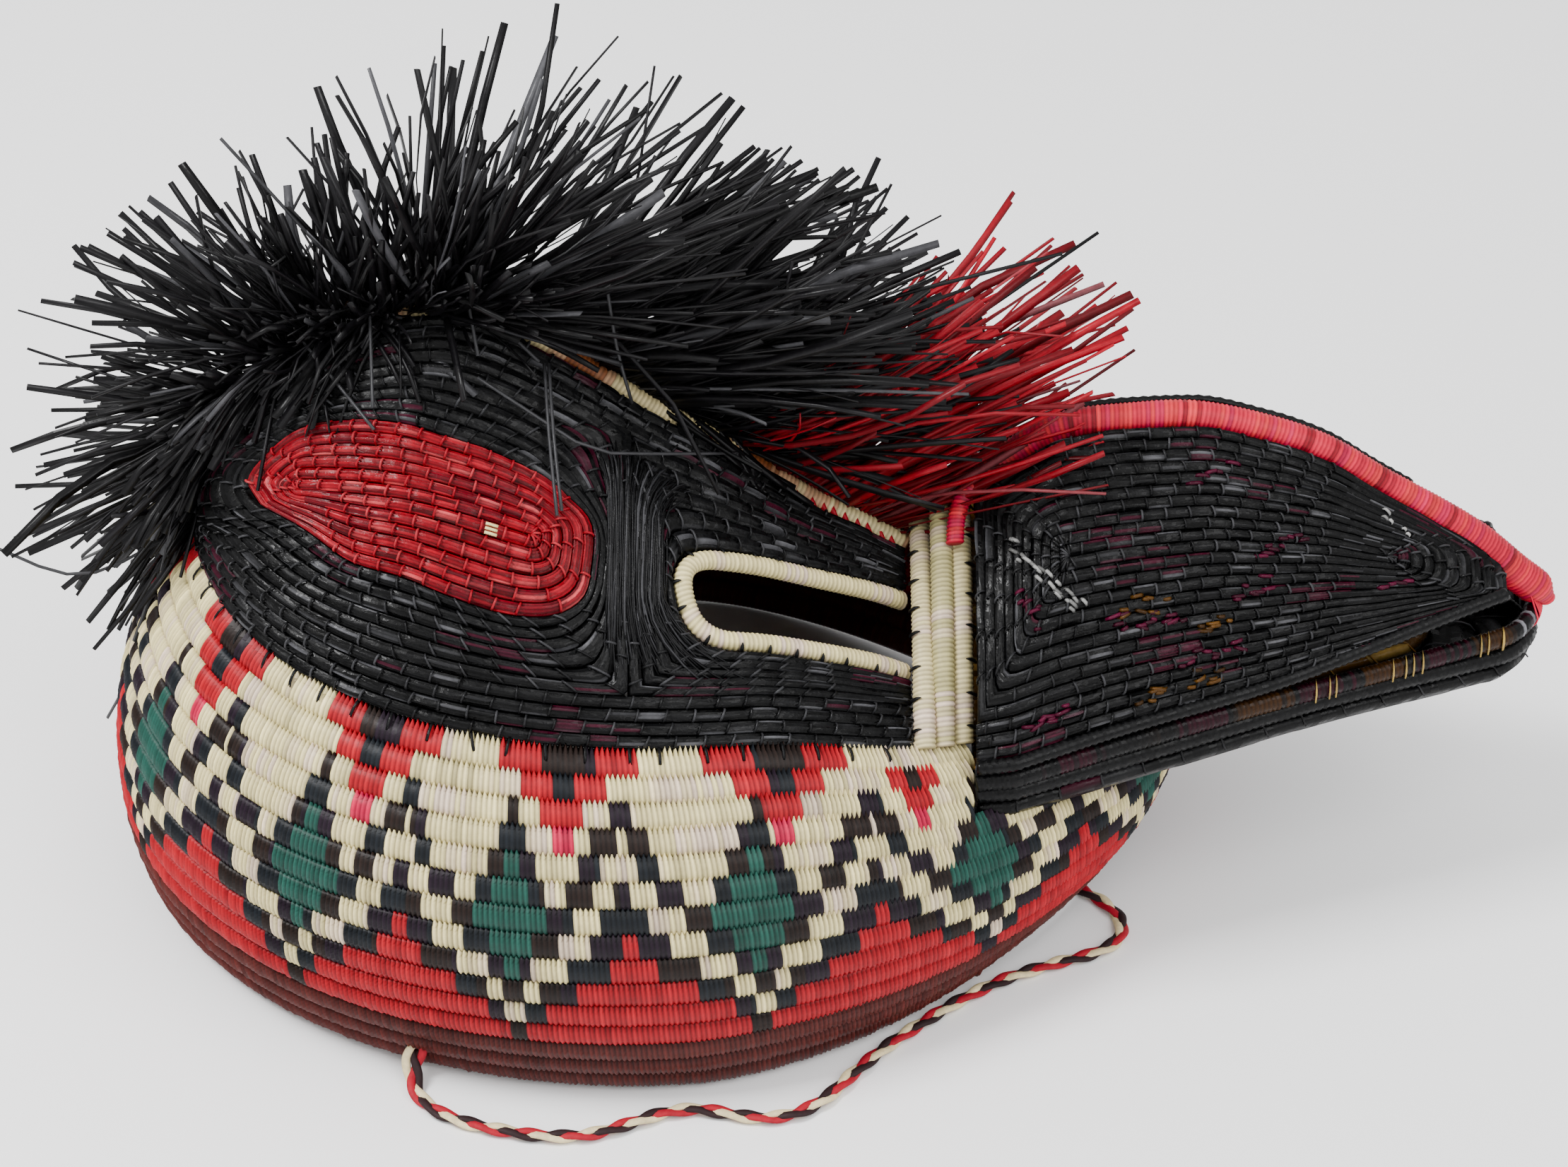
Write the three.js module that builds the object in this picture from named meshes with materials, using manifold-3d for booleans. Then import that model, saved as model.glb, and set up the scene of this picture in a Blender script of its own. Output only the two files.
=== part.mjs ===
// A woven bird mask, coiled and stitched from palm fibre, lying face up on its rim.
// Millimetres, +Z up. The beak points along +X, and -Y is the side the photo looks at.
import * as THREE from "three";
import { mergeVertices } from "three/addons/utils/BufferGeometryUtils.js";
import Module from "manifold-3d";

const wasm = await Module();
wasm.setup();

// Driving sizes of the basket wall
const ROW_HEIGHT = 5.8;
const WALL_ROWS = 15;
const SHEET = 5;
const GAP = 0.3;
const FOOT_GAP = 0.7;
const RIM_TO_BACK = 132.8;
const RIM_TO_BEAK = 95;
const RIM_TO_SIDE = 94.2;
const LEAN_BACK = [-17, 43.7];
const LEAN_BEAK = [-46.4, 45.3];
const LEAN_SIDE = [-26.9, 63.7];
const EGG_SHAPE = [0.156, 0.247];
const EGG_REACH = 110;
const ROUNDNESS = [1.744, 2.065];
const TOP_TILT = 0.076;
const CHEEK_DROP = 12.4;
const CHIN_ARCH = 6;

// Driving sizes of the head, the band and the beak
const BAND_BACK = 48.4;
const BAND_FRONT = 61.4;
const HEAD_BULGE = 7;
const SEAM_RADIUS = 2.7;
const BEAK_BACK = BAND_FRONT + GAP;
const BEAK_TIP = 192;
const BEAK_HALF_WIDTH = 57;
const TIP_HALF_WIDTH = 2;
const BEAK_POINT = 205;
const BEAK_TAPER_START = 70;
const BEAK_SHEET = 4.5;
const BEAK_BULGE = [6, 1.5];
const RIDGE_RADIUS = 3.7;
const UPPER_BEAK_END = 186;

// Named heights along the centre line, each a pair of x and z
const SEAM_LINE = [
  [-111.4, 90.4],
  [-110.8, 97],
  [-106, 112.5],
  [-96.5, 125],
  [-83, 135],
  [-67, 141.5],
  [-54, 143],
  [-42.5, 139.5],
  [-24, 128],
  [-11, 118.5],
  [5, 108.5],
  [24.5, 94],
  [38, 86.2],
  [BAND_BACK - 1.6, 80.9],
];
const RIDGE_LINE = [
  [BEAK_BACK, 96],
  [72, 106.5],
  [82, 112.8],
  [97, 115.2],
  [111, 115.8],
  [128, 111.9],
  [141, 106.7],
  [153, 98.8],
  [166, 90.4],
  [178, 81.6],
  [187, 73.4],
];
const UPPER_EDGE = [
  [BEAK_BACK, 59.4],
  [96, 64],
  [128, 66],
  [153, 69],
  [171, 71.2],
  [UPPER_BEAK_END, 71.7],
];
const LOWER_RIM = [
  [BEAK_BACK, 55.5],
  [96, 61],
  [128, 64.6],
  [150, 65.4],
  [BEAK_TIP, 66.2],
];
const LOWER_UNDERSIDE = [
  [BEAK_BACK, 48.8],
  [103, 51.3],
  [146, 53],
  [BEAK_TIP, 54.2],
];

const vec = (x, y, z) => new THREE.Vector3(x, y, z);
const lerp = THREE.MathUtils.lerp;
const smooth = (value, from, to) => THREE.MathUtils.smoothstep(value, from, to);
const signedPower = (value, power) => Math.sign(value) * Math.abs(value) ** power;

// Smooth height of a named line at a given x, by a monotone cubic through its points.
function heightAt(line, x) {
  const last = line.length - 2;
  const slopes = line.slice(1).map(([bx, bz], k) => (bz - line[k][1]) / (bx - line[k][0]));
  const tangent = (k) => {
    if (k === 0 || k === last + 1) return slopes[Math.min(k, last)];
    const [before, after] = [slopes[k - 1], slopes[k]];
    return before * after <= 0 ? 0 : (2 * before * after) / (before + after);
  };
  const found = line.findIndex(([px]) => px > x);
  const k = found < 0 ? last : THREE.MathUtils.clamp(found - 1, 0, last);
  const span = line[k + 1][0] - line[k][0];
  const t = THREE.MathUtils.clamp((x - line[k][0]) / span, 0, 1);
  const [z0, z1] = [line[k][1], line[k + 1][1]];
  return (
    z0 * (1 + 2 * t) * (1 - t) ** 2 +
    z1 * t * t * (3 - 2 * t) +
    tangent(k) * span * t * (1 - t) ** 2 +
    tangent(k + 1) * span * t * t * (t - 1)
  );
}

// Solids from grids, tubes and booleans

// A closed sheet between an outer and an inner grid. A looped sheet joins its last column to its first.
function sheet(columns, rows, outer, inner, looped = false) {
  const count = looped ? columns : columns + 1;
  const positions = [];
  for (const side of [outer, inner])
    for (let c = 0; c < count; c += 1)
      for (let r = 0; r <= rows; r += 1) positions.push(...side(c / columns, r / rows).toArray());
  const at = (side, c, r) => (side * count + (c % count)) * (rows + 1) + r;
  const index = [];
  const quad = (a, b, c, d) => index.push(a, b, c, a, c, d);
  for (let c = 0; c < columns; c += 1) {
    for (let r = 0; r < rows; r += 1) {
      quad(at(0, c, r), at(0, c + 1, r), at(0, c + 1, r + 1), at(0, c, r + 1));
      quad(at(1, c, r), at(1, c, r + 1), at(1, c + 1, r + 1), at(1, c + 1, r));
    }
    quad(at(0, c, 0), at(1, c, 0), at(1, c + 1, 0), at(0, c + 1, 0));
    quad(at(0, c, rows), at(0, c + 1, rows), at(1, c + 1, rows), at(1, c, rows));
  }
  if (!looped)
    for (let r = 0; r < rows; r += 1) {
      quad(at(0, 0, r), at(0, 0, r + 1), at(1, 0, r + 1), at(1, 0, r));
      quad(at(0, columns, r), at(1, columns, r), at(1, columns, r + 1), at(0, columns, r + 1));
    }
  const geometry = new THREE.BufferGeometry();
  geometry.setAttribute("position", new THREE.Float32BufferAttribute(positions, 3));
  geometry.setIndex(index);
  return facingOut(geometry);
}

// The same solid with its faces turned outwards.
function facingOut(geometry) {
  const points = geometry.getAttribute("position");
  const index = geometry.index.array;
  const [a, b, c] = [vec(0, 0, 0), vec(0, 0, 0), vec(0, 0, 0)];
  let volume = 0;
  for (let i = 0; i < index.length; i += 3) {
    a.fromBufferAttribute(points, index[i]);
    b.fromBufferAttribute(points, index[i + 1]);
    c.fromBufferAttribute(points, index[i + 2]);
    volume += a.dot(b.cross(c));
  }
  if (volume < 0) geometry.setIndex(Array.from(index).reverse());
  return geometry;
}

function solidOf(geometry) {
  const bare = new THREE.BufferGeometry().setAttribute("position", geometry.getAttribute("position"));
  if (geometry.index) bare.setIndex(geometry.index);
  const merged = facingOut(mergeVertices(bare, 1e-4));
  const mesh = new wasm.Mesh({
    numProp: 3,
    vertProperties: merged.getAttribute("position").array,
    triVerts: new Uint32Array(merged.index.array),
  });
  return new wasm.Manifold(mesh);
}

function geometryOf(solid) {
  const mesh = solid.getMesh();
  const geometry = new THREE.BufferGeometry();
  geometry.setAttribute("position", new THREE.Float32BufferAttribute(mesh.vertProperties, 3));
  geometry.setIndex(Array.from(mesh.triVerts));
  return geometry;
}

const cutFrom = (geometry, ...cutters) =>
  geometryOf(cutters.reduce((left, cutter) => left.subtract(solidOf(cutter)), solidOf(geometry)));

const joined = (...geometries) =>
  geometryOf(geometries.map(solidOf).reduce((left, right) => left.add(right)));

// A round coil along a smooth path through the given points.
function coil(points, radius, steps, sides = 10) {
  const section = new THREE.Shape().absarc(0, 0, radius, 0, 2 * Math.PI);
  const ring = new THREE.Shape(section.getSpacedPoints(sides).slice(0, sides));
  const path = new THREE.CatmullRomCurve3(points, false, "centripetal");
  return new THREE.ExtrudeGeometry(ring, { steps, bevelEnabled: false, extrudePath: path });
}

// A flat outline drawn in x and z, made thick across the mask.
function plate(outline, halfDepth) {
  const shape = new THREE.Shape(outline.map(([x, z]) => new THREE.Vector2(x, z)));
  const geometry = new THREE.ExtrudeGeometry(shape, { depth: 2 * halfDepth, bevelEnabled: false });
  return geometry.rotateX(Math.PI / 2).translate(0, halfDepth, 0);
}

const mirrored = (geometry) => facingOut(mergeVertices(withoutExtras(geometry).scale(1, -1, 1)));

function withoutExtras(geometry) {
  const bare = new THREE.BufferGeometry().setAttribute(
    "position",
    geometry.getAttribute("position").clone(),
  );
  return geometry.index ? bare.setIndex(geometry.index.clone()) : bare;
}

// Side wall: fifteen rows that bulge above the rim and lean in towards the face

// How far a row stands in from the rim and above it, when the lean grows evenly with height.
function leanProfile(row, [first, last]) {
  if (row === 0) return [0, 0];
  const start = THREE.MathUtils.degToRad(first);
  const end = THREE.MathUtils.degToRad(lerp(first, last, row / WALL_ROWS));
  const scale = (ROW_HEIGHT * row) / (end - start);
  return [scale * (Math.cos(start) - Math.cos(end)), scale * (Math.sin(end) - Math.sin(start))];
}

// Outer surface of the wall. Angle 0 is at the beak and minus a quarter turn is the near side.
function wallPoint(row, angle) {
  const [sideIn, sideUp] = leanProfile(row, LEAN_SIDE);
  const [backIn, backUp] = leanProfile(row, LEAN_BACK);
  const [beakIn, beakUp] = leanProfile(row, LEAN_BEAK);
  const part = row / WALL_ROWS;
  const [c, s] = [Math.cos(angle), Math.sin(angle)];
  const power = 2 / lerp(...ROUNDNESS, part);
  const reach = c < 0 ? RIM_TO_BACK - backIn : RIM_TO_BEAK - beakIn;
  const x = reach * signedPower(c, power);
  const narrowing = 1 - (lerp(...EGG_SHAPE, part) * x) / EGG_REACH;
  const y = (RIM_TO_SIDE - sideIn) * signedPower(s, power) * narrowing;
  const rise = sideUp + ((c < 0 ? backUp : beakUp) - sideUp) * c * c;
  const drop = CHEEK_DROP * smooth(x, 10, 70) * part * part;
  const arch = CHIN_ARCH * Math.max(c, 0) ** 3 * (1 - part) ** 2;
  return vec(x, y, rise - TOP_TILT * x * part - drop + arch);
}

// Unit normal of the wall, pointing out.
function wallNormal(row, angle) {
  const step = 0.01;
  const low = Math.max(row - 0.2, 0);
  const high = Math.min(row + 0.2, WALL_ROWS);
  const around = wallPoint(row, angle + step).sub(wallPoint(row, angle - step));
  const upward = wallPoint(high, angle).sub(wallPoint(low, angle));
  return around.cross(upward).normalize();
}

function wallInside(row, angle) {
  const normal = wallNormal(row, angle);
  if (row === 0) normal.setZ(0).normalize();
  return wallPoint(row, angle).addScaledVector(normal, -SHEET);
}

const WALL_ANGLES = 60;
const WALL_LEVELS = 6;
const turn = (part) => 2 * Math.PI * part;
const wall = sheet(
  WALL_ANGLES,
  WALL_LEVELS,
  (around, up) => wallPoint(up * WALL_ROWS, turn(around)),
  (around, up) => wallInside(up * WALL_ROWS, turn(around)),
  true,
);
const underBeak = [BEAK_BACK - GAP / 2, 75, 90, 105, 120].map((x) => [
  x,
  heightAt(LOWER_UNDERSIDE, x) - GAP,
]);
const beakSeat = plate([...underBeak, [120, 150], [BEAK_BACK - GAP / 2, 150]], 90);
const sideWall = cutFrom(wall, beakSeat);

// Head panels: open coiled sheets from the wall's top row to the seam over the crown

// Near side angle of the wall's top row at a given x.
function topAngleAt(x) {
  let [low, high] = [-Math.PI, 0];
  for (let k = 0; k < 40; k += 1) {
    const middle = (low + high) / 2;
    if (wallPoint(WALL_ROWS, middle).x < x) low = middle;
    else high = middle;
  }
  return low;
}

const TOP_STEPS = 120;
const topAngles = [];
const topLengths = [];
for (let k = 0; k <= TOP_STEPS; k += 1) {
  const angle = lerp(-Math.PI, topAngleAt(BAND_BACK - GAP), k / TOP_STEPS);
  const before = k ? wallPoint(WALL_ROWS, topAngles[k - 1]) : wallPoint(WALL_ROWS, angle);
  topLengths.push((k ? topLengths[k - 1] : 0) + before.distanceTo(wallPoint(WALL_ROWS, angle)));
  topAngles.push(angle);
}

// Angle at a fraction of the top row's length, from the back of the head to the band.
function topAngle(part) {
  const wanted = part * topLengths[TOP_STEPS];
  const k = Math.max(1, topLengths.findIndex((length) => length >= wanted - 1e-9));
  const t = (wanted - topLengths[k - 1]) / (topLengths[k] - topLengths[k - 1]);
  return lerp(topAngles[k - 1], topAngles[k], t);
}

const seamCurve = new THREE.CatmullRomCurve3(
  SEAM_LINE.map(([x, z]) => vec(x, 0, z)),
  false,
  "centripetal",
);
const HEAD_START = 0.012;
const CROWN_LIFT = 1.2;

// Near head panel. along runs from the back of the head to the band, up from the wall to the seam.
function headPoint(along, up) {
  const part = lerp(HEAD_START, 1, along);
  const foot = wallPoint(WALL_ROWS, topAngle(part));
  const crown = seamCurve.getPointAt(part).add(vec(0, -SEAM_RADIUS - GAP, CROWN_LIFT));
  const across = crown.clone().sub(foot);
  foot.addScaledVector(across.clone().normalize(), FOOT_GAP);
  const outward = vec(0, -across.z, across.y).normalize();
  const swell = HEAD_BULGE * 4 * up * (1 - up) * Math.sin(Math.PI * part) ** 0.5;
  return foot.lerp(crown, up).addScaledVector(outward, swell);
}

function surfaceNormal(point, along, up) {
  const step = 0.01;
  const alongStep = point(Math.min(along + step, 1), up).sub(point(Math.max(along - step, 0), up));
  const upStep = point(along, Math.min(up + step, 1)).sub(point(along, Math.max(up - step, 0)));
  return alongStep.cross(upStep).normalize();
}

function headInside(along, up) {
  const normal = surfaceNormal(headPoint, along, up);
  const part = lerp(HEAD_START, 1, along);
  normal.lerp(wallNormal(WALL_ROWS, topAngle(part)), 1 - smooth(up, 0, 0.15));
  normal.y *= 1 - Math.max(smooth(up, 0.8, 1), 1 - smooth(along, 0, 0.08));
  normal.x *= 1 - smooth(along, 0.9, 1);
  return headPoint(along, up).addScaledVector(normal.normalize(), -SHEET);
}

// Point and normal of the near head panel at a given x and height fraction.
function headAt(x, up) {
  let [low, high] = [0, 1];
  for (let k = 0; k < 30; k += 1) {
    const middle = (low + high) / 2;
    if (headPoint(middle, up).x < x) low = middle;
    else high = middle;
  }
  return { point: headPoint(low, up), normal: surfaceNormal(headPoint, low, up) };
}

// Eye slot: a long notch in the panel, open to the band, edged by one coil
const SLOT_BACK = -4;
const SLOT_HALF_HEIGHT = 12.8;
const SLOT_COIL = 2.7;
const SLOT_CUT = 10;
const SLOT_UP_BACK = 0.47;
const SLOT_UP_FRONT = 0.575;

const slotUp = (x) => lerp(SLOT_UP_BACK, SLOT_UP_FRONT, (x - SLOT_BACK) / (BAND_BACK - SLOT_BACK));
const panelWidth = (x) => headAt(x, 0).point.distanceTo(headAt(x, 1).point);

// Half height of the notch at a given x, rounded at its back end.
function slotHalf(x, inset) {
  const radius = SLOT_HALF_HEIGHT - inset;
  const into = THREE.MathUtils.clamp((x - SLOT_BACK - inset) / radius, 0, 1);
  return radius * Math.sqrt(1 - (1 - into) ** 2);
}

function slotPoint(x, side, inset, lift) {
  const up = slotUp(x) + (side * slotHalf(x, inset)) / panelWidth(x);
  const inside = Math.min(x, BAND_BACK - GAP);
  const { point, normal } = headAt(inside, up);
  return point.addScaledVector(normal, lift).setX(point.x + x - inside);
}

// Columns sit closer together near the rounded end.
const slotColumn = (part) => lerp(SLOT_BACK + 0.05, BAND_BACK + 4, part ** 1.8);
const slotCutter = sheet(
  16,
  4,
  (along, across) => slotPoint(slotColumn(along), 2 * across - 1, 0, SLOT_CUT),
  (along, across) => slotPoint(slotColumn(along), 2 * across - 1, 0, -SLOT_CUT),
);
const headPanel = cutFrom(sheet(26, 9, headPoint, headInside), slotCutter);

const SLOT_RIM_STEPS = 9;
const slotPath = [];
for (let k = -SLOT_RIM_STEPS; k <= SLOT_RIM_STEPS; k += 1) {
  const inset = SLOT_COIL + GAP;
  const from = SLOT_BACK + inset;
  const x = lerp(from, BAND_BACK - GAP, (Math.abs(k) / SLOT_RIM_STEPS) ** 1.8);
  slotPath.push(slotPoint(x, Math.sign(k), inset, -SLOT_COIL));
}
const slotEdge = coil(slotPath, SLOT_COIL, 26, 8);

// Middle seam: one coil over the crown from the back of the wall to the band
const middleSeam = coil(
  SEAM_LINE.map(([x, z]) => vec(x, 0, z)),
  SEAM_RADIUS,
  30,
);

// Band: three stacked coils in an arch between the head and the beak
const BAND_COILS = 3;
const BAND_SWELL = 1.6;
const BAND_BULGE = 4;
const BAND_CROWN = [
  [BAND_BACK, 84.5],
  [51, 86.5],
  [54.8, 93.4],
  [58, 93],
  [BAND_FRONT, 90],
];

// Arch of the band. across runs over the mask from the near foot to the far foot.
function bandPoint(along, across, lift) {
  const x = lerp(BAND_BACK, BAND_FRONT, along);
  const up = 1 - Math.abs(2 * across - 1);
  const foot = wallPoint(WALL_ROWS, topAngleAt(x));
  const crown = vec(x, 0, heightAt(BAND_CROWN, x));
  const climb = crown.clone().sub(foot);
  const outward = vec(0, -climb.z, climb.y).normalize();
  foot.addScaledVector(climb.clone().normalize(), FOOT_GAP);
  const swell = BAND_BULGE * 4 * up * (1 - up) + lift * (1 - up);
  const point = foot.lerp(crown, up).addScaledVector(outward, swell);
  point.z += lift * up;
  if (across > 0.5) point.y = -point.y;
  return point;
}

const bandCoil = (along) => BAND_SWELL * Math.abs(Math.sin(Math.PI * BAND_COILS * along)) ** 0.6;
const beakBand = sheet(
  12,
  16,
  (along, across) => bandPoint(along, across, bandCoil(along)),
  (along, across) => bandPoint(along, across, -SHEET),
);

// Upper beak: two coiled panels that meet at the ridge coil
const beakHalfWidth = (x) =>
  BEAK_HALF_WIDTH *
    (1 - THREE.MathUtils.clamp((x - BEAK_TAPER_START) / (BEAK_POINT - BEAK_TAPER_START), 0, 1)) **
      0.85 +
  TIP_HALF_WIDTH;
const beakX = (along) => lerp(BEAK_BACK, UPPER_BEAK_END, along);

function beakPoint(along, up) {
  const x = beakX(along);
  const foot = vec(x, -beakHalfWidth(x), heightAt(UPPER_EDGE, x));
  const crown = vec(x, -RIDGE_RADIUS - GAP, heightAt(RIDGE_LINE, x));
  const climb = crown.clone().sub(foot);
  const outward = vec(0, -climb.z, climb.y).normalize();
  const swell = lerp(...BEAK_BULGE, along) * 4 * up * (1 - up);
  return foot.lerp(crown, up).addScaledVector(outward, swell);
}

function beakInside(along, up) {
  const normal = surfaceNormal(beakPoint, along, up);
  normal.x = 0;
  normal.z *= smooth(up, 0, 0.2);
  normal.y *= 1 - smooth(up, 0.8, 1);
  const point = beakPoint(along, up).addScaledVector(normal.normalize(), -BEAK_SHEET);
  point.y = Math.min(point.y, -GAP / 2);
  return point;
}

const TIP_CENTRE = vec(189, 0, 67.5);
function tipKnob(extra) {
  const knob = new THREE.SphereGeometry(1, 16, 10);
  return knob.scale(7 + extra, 7.5 + extra, 8 + extra).translate(...TIP_CENTRE.toArray());
}
const beakPanel = cutFrom(sheet(20, 7, beakPoint, beakInside), tipKnob(GAP));
const ridgeCoil = coil(
  [...RIDGE_LINE.map(([x, z]) => vec(x, 0, z)), TIP_CENTRE],
  RIDGE_RADIUS,
  26,
);
const beakRidge = joined(ridgeCoil, tipKnob(0));

// Lower beak: a shallow coiled tray, open above and open at the back to the head
function tray(from, to, inset, bottom, top) {
  const y = (x, across) => (2 * across - 1) * (roundedHalf(x) - inset);
  return sheet(
    24,
    4,
    (along, across) => vec(lerp(from, to, along), y(lerp(from, to, along), across), top(along)),
    (along, across) => vec(lerp(from, to, along), y(lerp(from, to, along), across), bottom(along)),
  );
}
const TIP_ROUND = 9;
function roundedHalf(x) {
  const into = THREE.MathUtils.clamp((x - (BEAK_TIP - TIP_ROUND)) / TIP_ROUND, 0, 1);
  return beakHalfWidth(x) * Math.sqrt(Math.max(1 - into ** 2.2, 0.06));
}
const trayHeight = (line, from, to, lift) => (along) => heightAt(line, lerp(from, to, along)) + lift;
const HOLLOW_END = BEAK_TIP - 8;
const trayBody = tray(
  BEAK_BACK,
  BEAK_TIP,
  0,
  trayHeight(LOWER_UNDERSIDE, BEAK_BACK, BEAK_TIP, 0),
  trayHeight(LOWER_RIM, BEAK_BACK, BEAK_TIP, 0),
);
const trayHollow = tray(
  BEAK_BACK - 2,
  HOLLOW_END,
  SHEET,
  trayHeight(LOWER_UNDERSIDE, BEAK_BACK - 2, HOLLOW_END, BEAK_SHEET),
  trayHeight(LOWER_RIM, BEAK_BACK - 2, HOLLOW_END, 10),
);
const THROAT_END = 88;
const throat = new THREE.ExtrudeGeometry(
  new THREE.Shape([
    new THREE.Vector2(BEAK_BACK - 3, -46),
    new THREE.Vector2(THROAT_END, -32),
    new THREE.Vector2(THROAT_END, 32),
    new THREE.Vector2(BEAK_BACK - 3, 46),
  ]),
  { depth: 60, bevelEnabled: false },
).translate(0, 0, 30);
const lowerBeak = cutFrom(trayBody, trayHollow, throat, tipKnob(GAP));

// Crest: a fan of fibre tufts sewn along the seam, black over the head and red at the beak
const CREST_HALF_DEPTH = 4.5;
const CREST_CLEAR = SEAM_RADIUS + 0.5;
const BLACK_TIPS = [
  [-155, 55],
  [-155, 100],
  [-152, 141],
  [-126, 177],
  [-87, 199],
  [-50, 210],
  [-18, 215],
  [10, 206],
  [36, 193],
  [62, 175],
];
const RED_TIPS = [
  [80, 161],
  [92, 149],
  [104, 138],
];

// Outline of a fan: its root follows the seam, its edge rises and falls over the tufts.
function fan(rootFrom, rootTo, tips, tufts, lift = 0) {
  const edge = new THREE.SplineCurve(tips.map(([x, z]) => new THREE.Vector2(x, z)));
  const root = (part) => {
    const at = lerp(rootFrom, rootTo, part);
    const tangent = seamCurve.getTangentAt(at);
    const clear = CREST_CLEAR + lift * part;
    return seamCurve.getPointAt(at).addScaledVector(vec(-tangent.z, 0, tangent.x), clear);
  };
  const outline = [];
  for (let k = 0; k <= 2 * tufts; k += 1) {
    const part = k / (2 * tufts);
    const tip = edge.getPoint(part);
    const foot = root(part);
    const reach = k % 2 ? 1 : 0.84;
    outline.push([lerp(foot.x, tip.x, reach), lerp(foot.z, tip.y, reach)]);
  }
  const rootSteps = 24;
  for (let k = rootSteps; k >= 0; k -= 1) {
    const foot = root(k / rootSteps);
    outline.push([foot.x, foot.z]);
  }
  return plate(outline, CREST_HALF_DEPTH);
}
const crestBlack = fan(0.035, 0.74, BLACK_TIPS, 16);
const RED_LIFT = 6;
const crestRed = fan(0.79, 0.95, RED_TIPS, 5, RED_LIFT);

// Strap: a thin braid that leaves the near wall, runs over the floor and under the rim at the beak
const STRAP_RADIUS = 1.7;
const STRAP_HEIGHT = STRAP_RADIUS + 0.4;
const STRAP_STEPS = 60;
const STRAP_FLOOR = [
  [-61.2, -97.4],
  [-56, -103.6],
  [-48.5, -107.6],
  [-41, -109.8],
  [-32.5, -111.4],
  [-23.3, -111],
  [-15.8, -108.2],
  [-6.7, -104],
  [0.5, -102.8],
  [8.8, -104.6],
  [15, -105.6],
  [22.7, -103.8],
  [28.9, -98.8],
  [34.7, -91.2],
  [42.9, -81.5],
  [51.2, -73.4],
  [59.6, -66],
  [70.2, -58.6],
  [82.7, -52.8],
  [91, -49.4],
  [96.4, -44.6],
  [97.4, -38],
  [94.6, -32.2],
  [90, -27.4],
  [82, -20],
  [68, -8],
  [45, 12],
  [18, 34],
  [-10, 52],
  [-34, 66],
  [-47, 74],
];
const STRAP_ROW = 1.7;
const STRAP_ANGLE = -2.095;
const strapStart = wallPoint(STRAP_ROW, STRAP_ANGLE).addScaledVector(
  wallNormal(STRAP_ROW, STRAP_ANGLE),
  STRAP_RADIUS + GAP,
);
const STRAP_END = vec(-52, 79.5, 5.2);
const strapPath = [
  strapStart,
  vec(-62.3, -92.8, 3.2),
  ...STRAP_FLOOR.map(([x, y]) => vec(x, y, STRAP_HEIGHT)),
  STRAP_END,
];
const strap = coil(strapPath, STRAP_RADIUS, STRAP_STEPS, 8);

// The mask, with its colours
const mask = new THREE.Group();
function add(name, geometry, color, roughness = 0.8) {
  const material = new THREE.MeshStandardMaterial({ color, roughness, metalness: 0 });
  const plain = withoutExtras(geometry);
  const mesh = new THREE.Mesh(plain, material);
  mesh.name = name;
  plain.computeVertexNormals();
  mask.add(mesh);
}
const CREAM = 0xece0b4;
const BLACK = 0x191919;
const RED = 0xc33038;
const PINK_RED = 0xdc3c50;
add("side_wall", sideWall, CREAM, 0.7);
add("head_panel_near", headPanel, BLACK);
add("head_panel_far", mirrored(headPanel), BLACK);
add("slot_rim_near", slotEdge, BLACK);
add("slot_rim_far", mirrored(slotEdge), BLACK);
add("mid_seam", middleSeam, BLACK);
add("beak_band", beakBand, BLACK);
add("beak_panel_near", beakPanel, BLACK);
add("beak_panel_far", mirrored(beakPanel), BLACK);
add("beak_ridge", beakRidge, PINK_RED);
add("lower_beak", lowerBeak, BLACK);
add("crest_black", crestBlack, BLACK, 0.6);
add("crest_red", crestRed, RED, 0.6);
add("strap", strap, CREAM);

// The origin is under the middle of the mask, on the plane that the rim rests on.
const bounds = new THREE.Box3();
for (const piece of mask.children) if (piece.name !== "strap") bounds.expandByObject(piece);
const middle = bounds.getCenter(vec(0, 0, 0));
mask.position.set(-middle.x, -middle.y, -bounds.min.z);

export default mask;
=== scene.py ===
import bpy
import numpy as np
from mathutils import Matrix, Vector


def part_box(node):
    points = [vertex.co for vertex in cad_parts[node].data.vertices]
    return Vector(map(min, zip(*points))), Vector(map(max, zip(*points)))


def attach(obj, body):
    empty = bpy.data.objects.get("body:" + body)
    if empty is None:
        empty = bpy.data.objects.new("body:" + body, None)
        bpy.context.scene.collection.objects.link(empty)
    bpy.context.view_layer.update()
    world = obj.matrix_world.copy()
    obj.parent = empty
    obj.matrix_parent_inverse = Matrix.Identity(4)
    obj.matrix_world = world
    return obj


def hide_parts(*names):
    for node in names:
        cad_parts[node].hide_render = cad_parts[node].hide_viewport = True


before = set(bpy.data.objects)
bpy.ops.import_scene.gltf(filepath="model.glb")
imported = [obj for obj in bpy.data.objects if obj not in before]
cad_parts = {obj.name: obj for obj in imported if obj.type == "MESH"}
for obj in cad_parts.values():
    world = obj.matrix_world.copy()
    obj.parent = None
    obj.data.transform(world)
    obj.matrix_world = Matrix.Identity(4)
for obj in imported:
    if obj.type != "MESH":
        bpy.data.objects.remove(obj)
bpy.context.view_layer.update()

# Floor, light and camera
# A pale table under a wide soft light, seen from the near side and above, with the
# mask's beak to the right. The mask lies on its rim.
MM = 0.001
PHOTO_WIDTH = 2219
FOCAL_PIXELS = 5947
CAMERA_ELEVATION = np.radians(34.8)
CAMERA_DISTANCE = 1.0
CAMERA_TARGET = Vector((-0.0009, 0.0288, 0.050))
SENSOR_WIDTH = 36
FLOOR_SIZE = 8
FLOOR_ROUGHNESS = 0.7
FLOOR_MOTTLE_SCALE = 3
FLOOR_TONES = ((0.90, 0.90, 0.91, 1), (0.94, 0.94, 0.94, 1))


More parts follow.
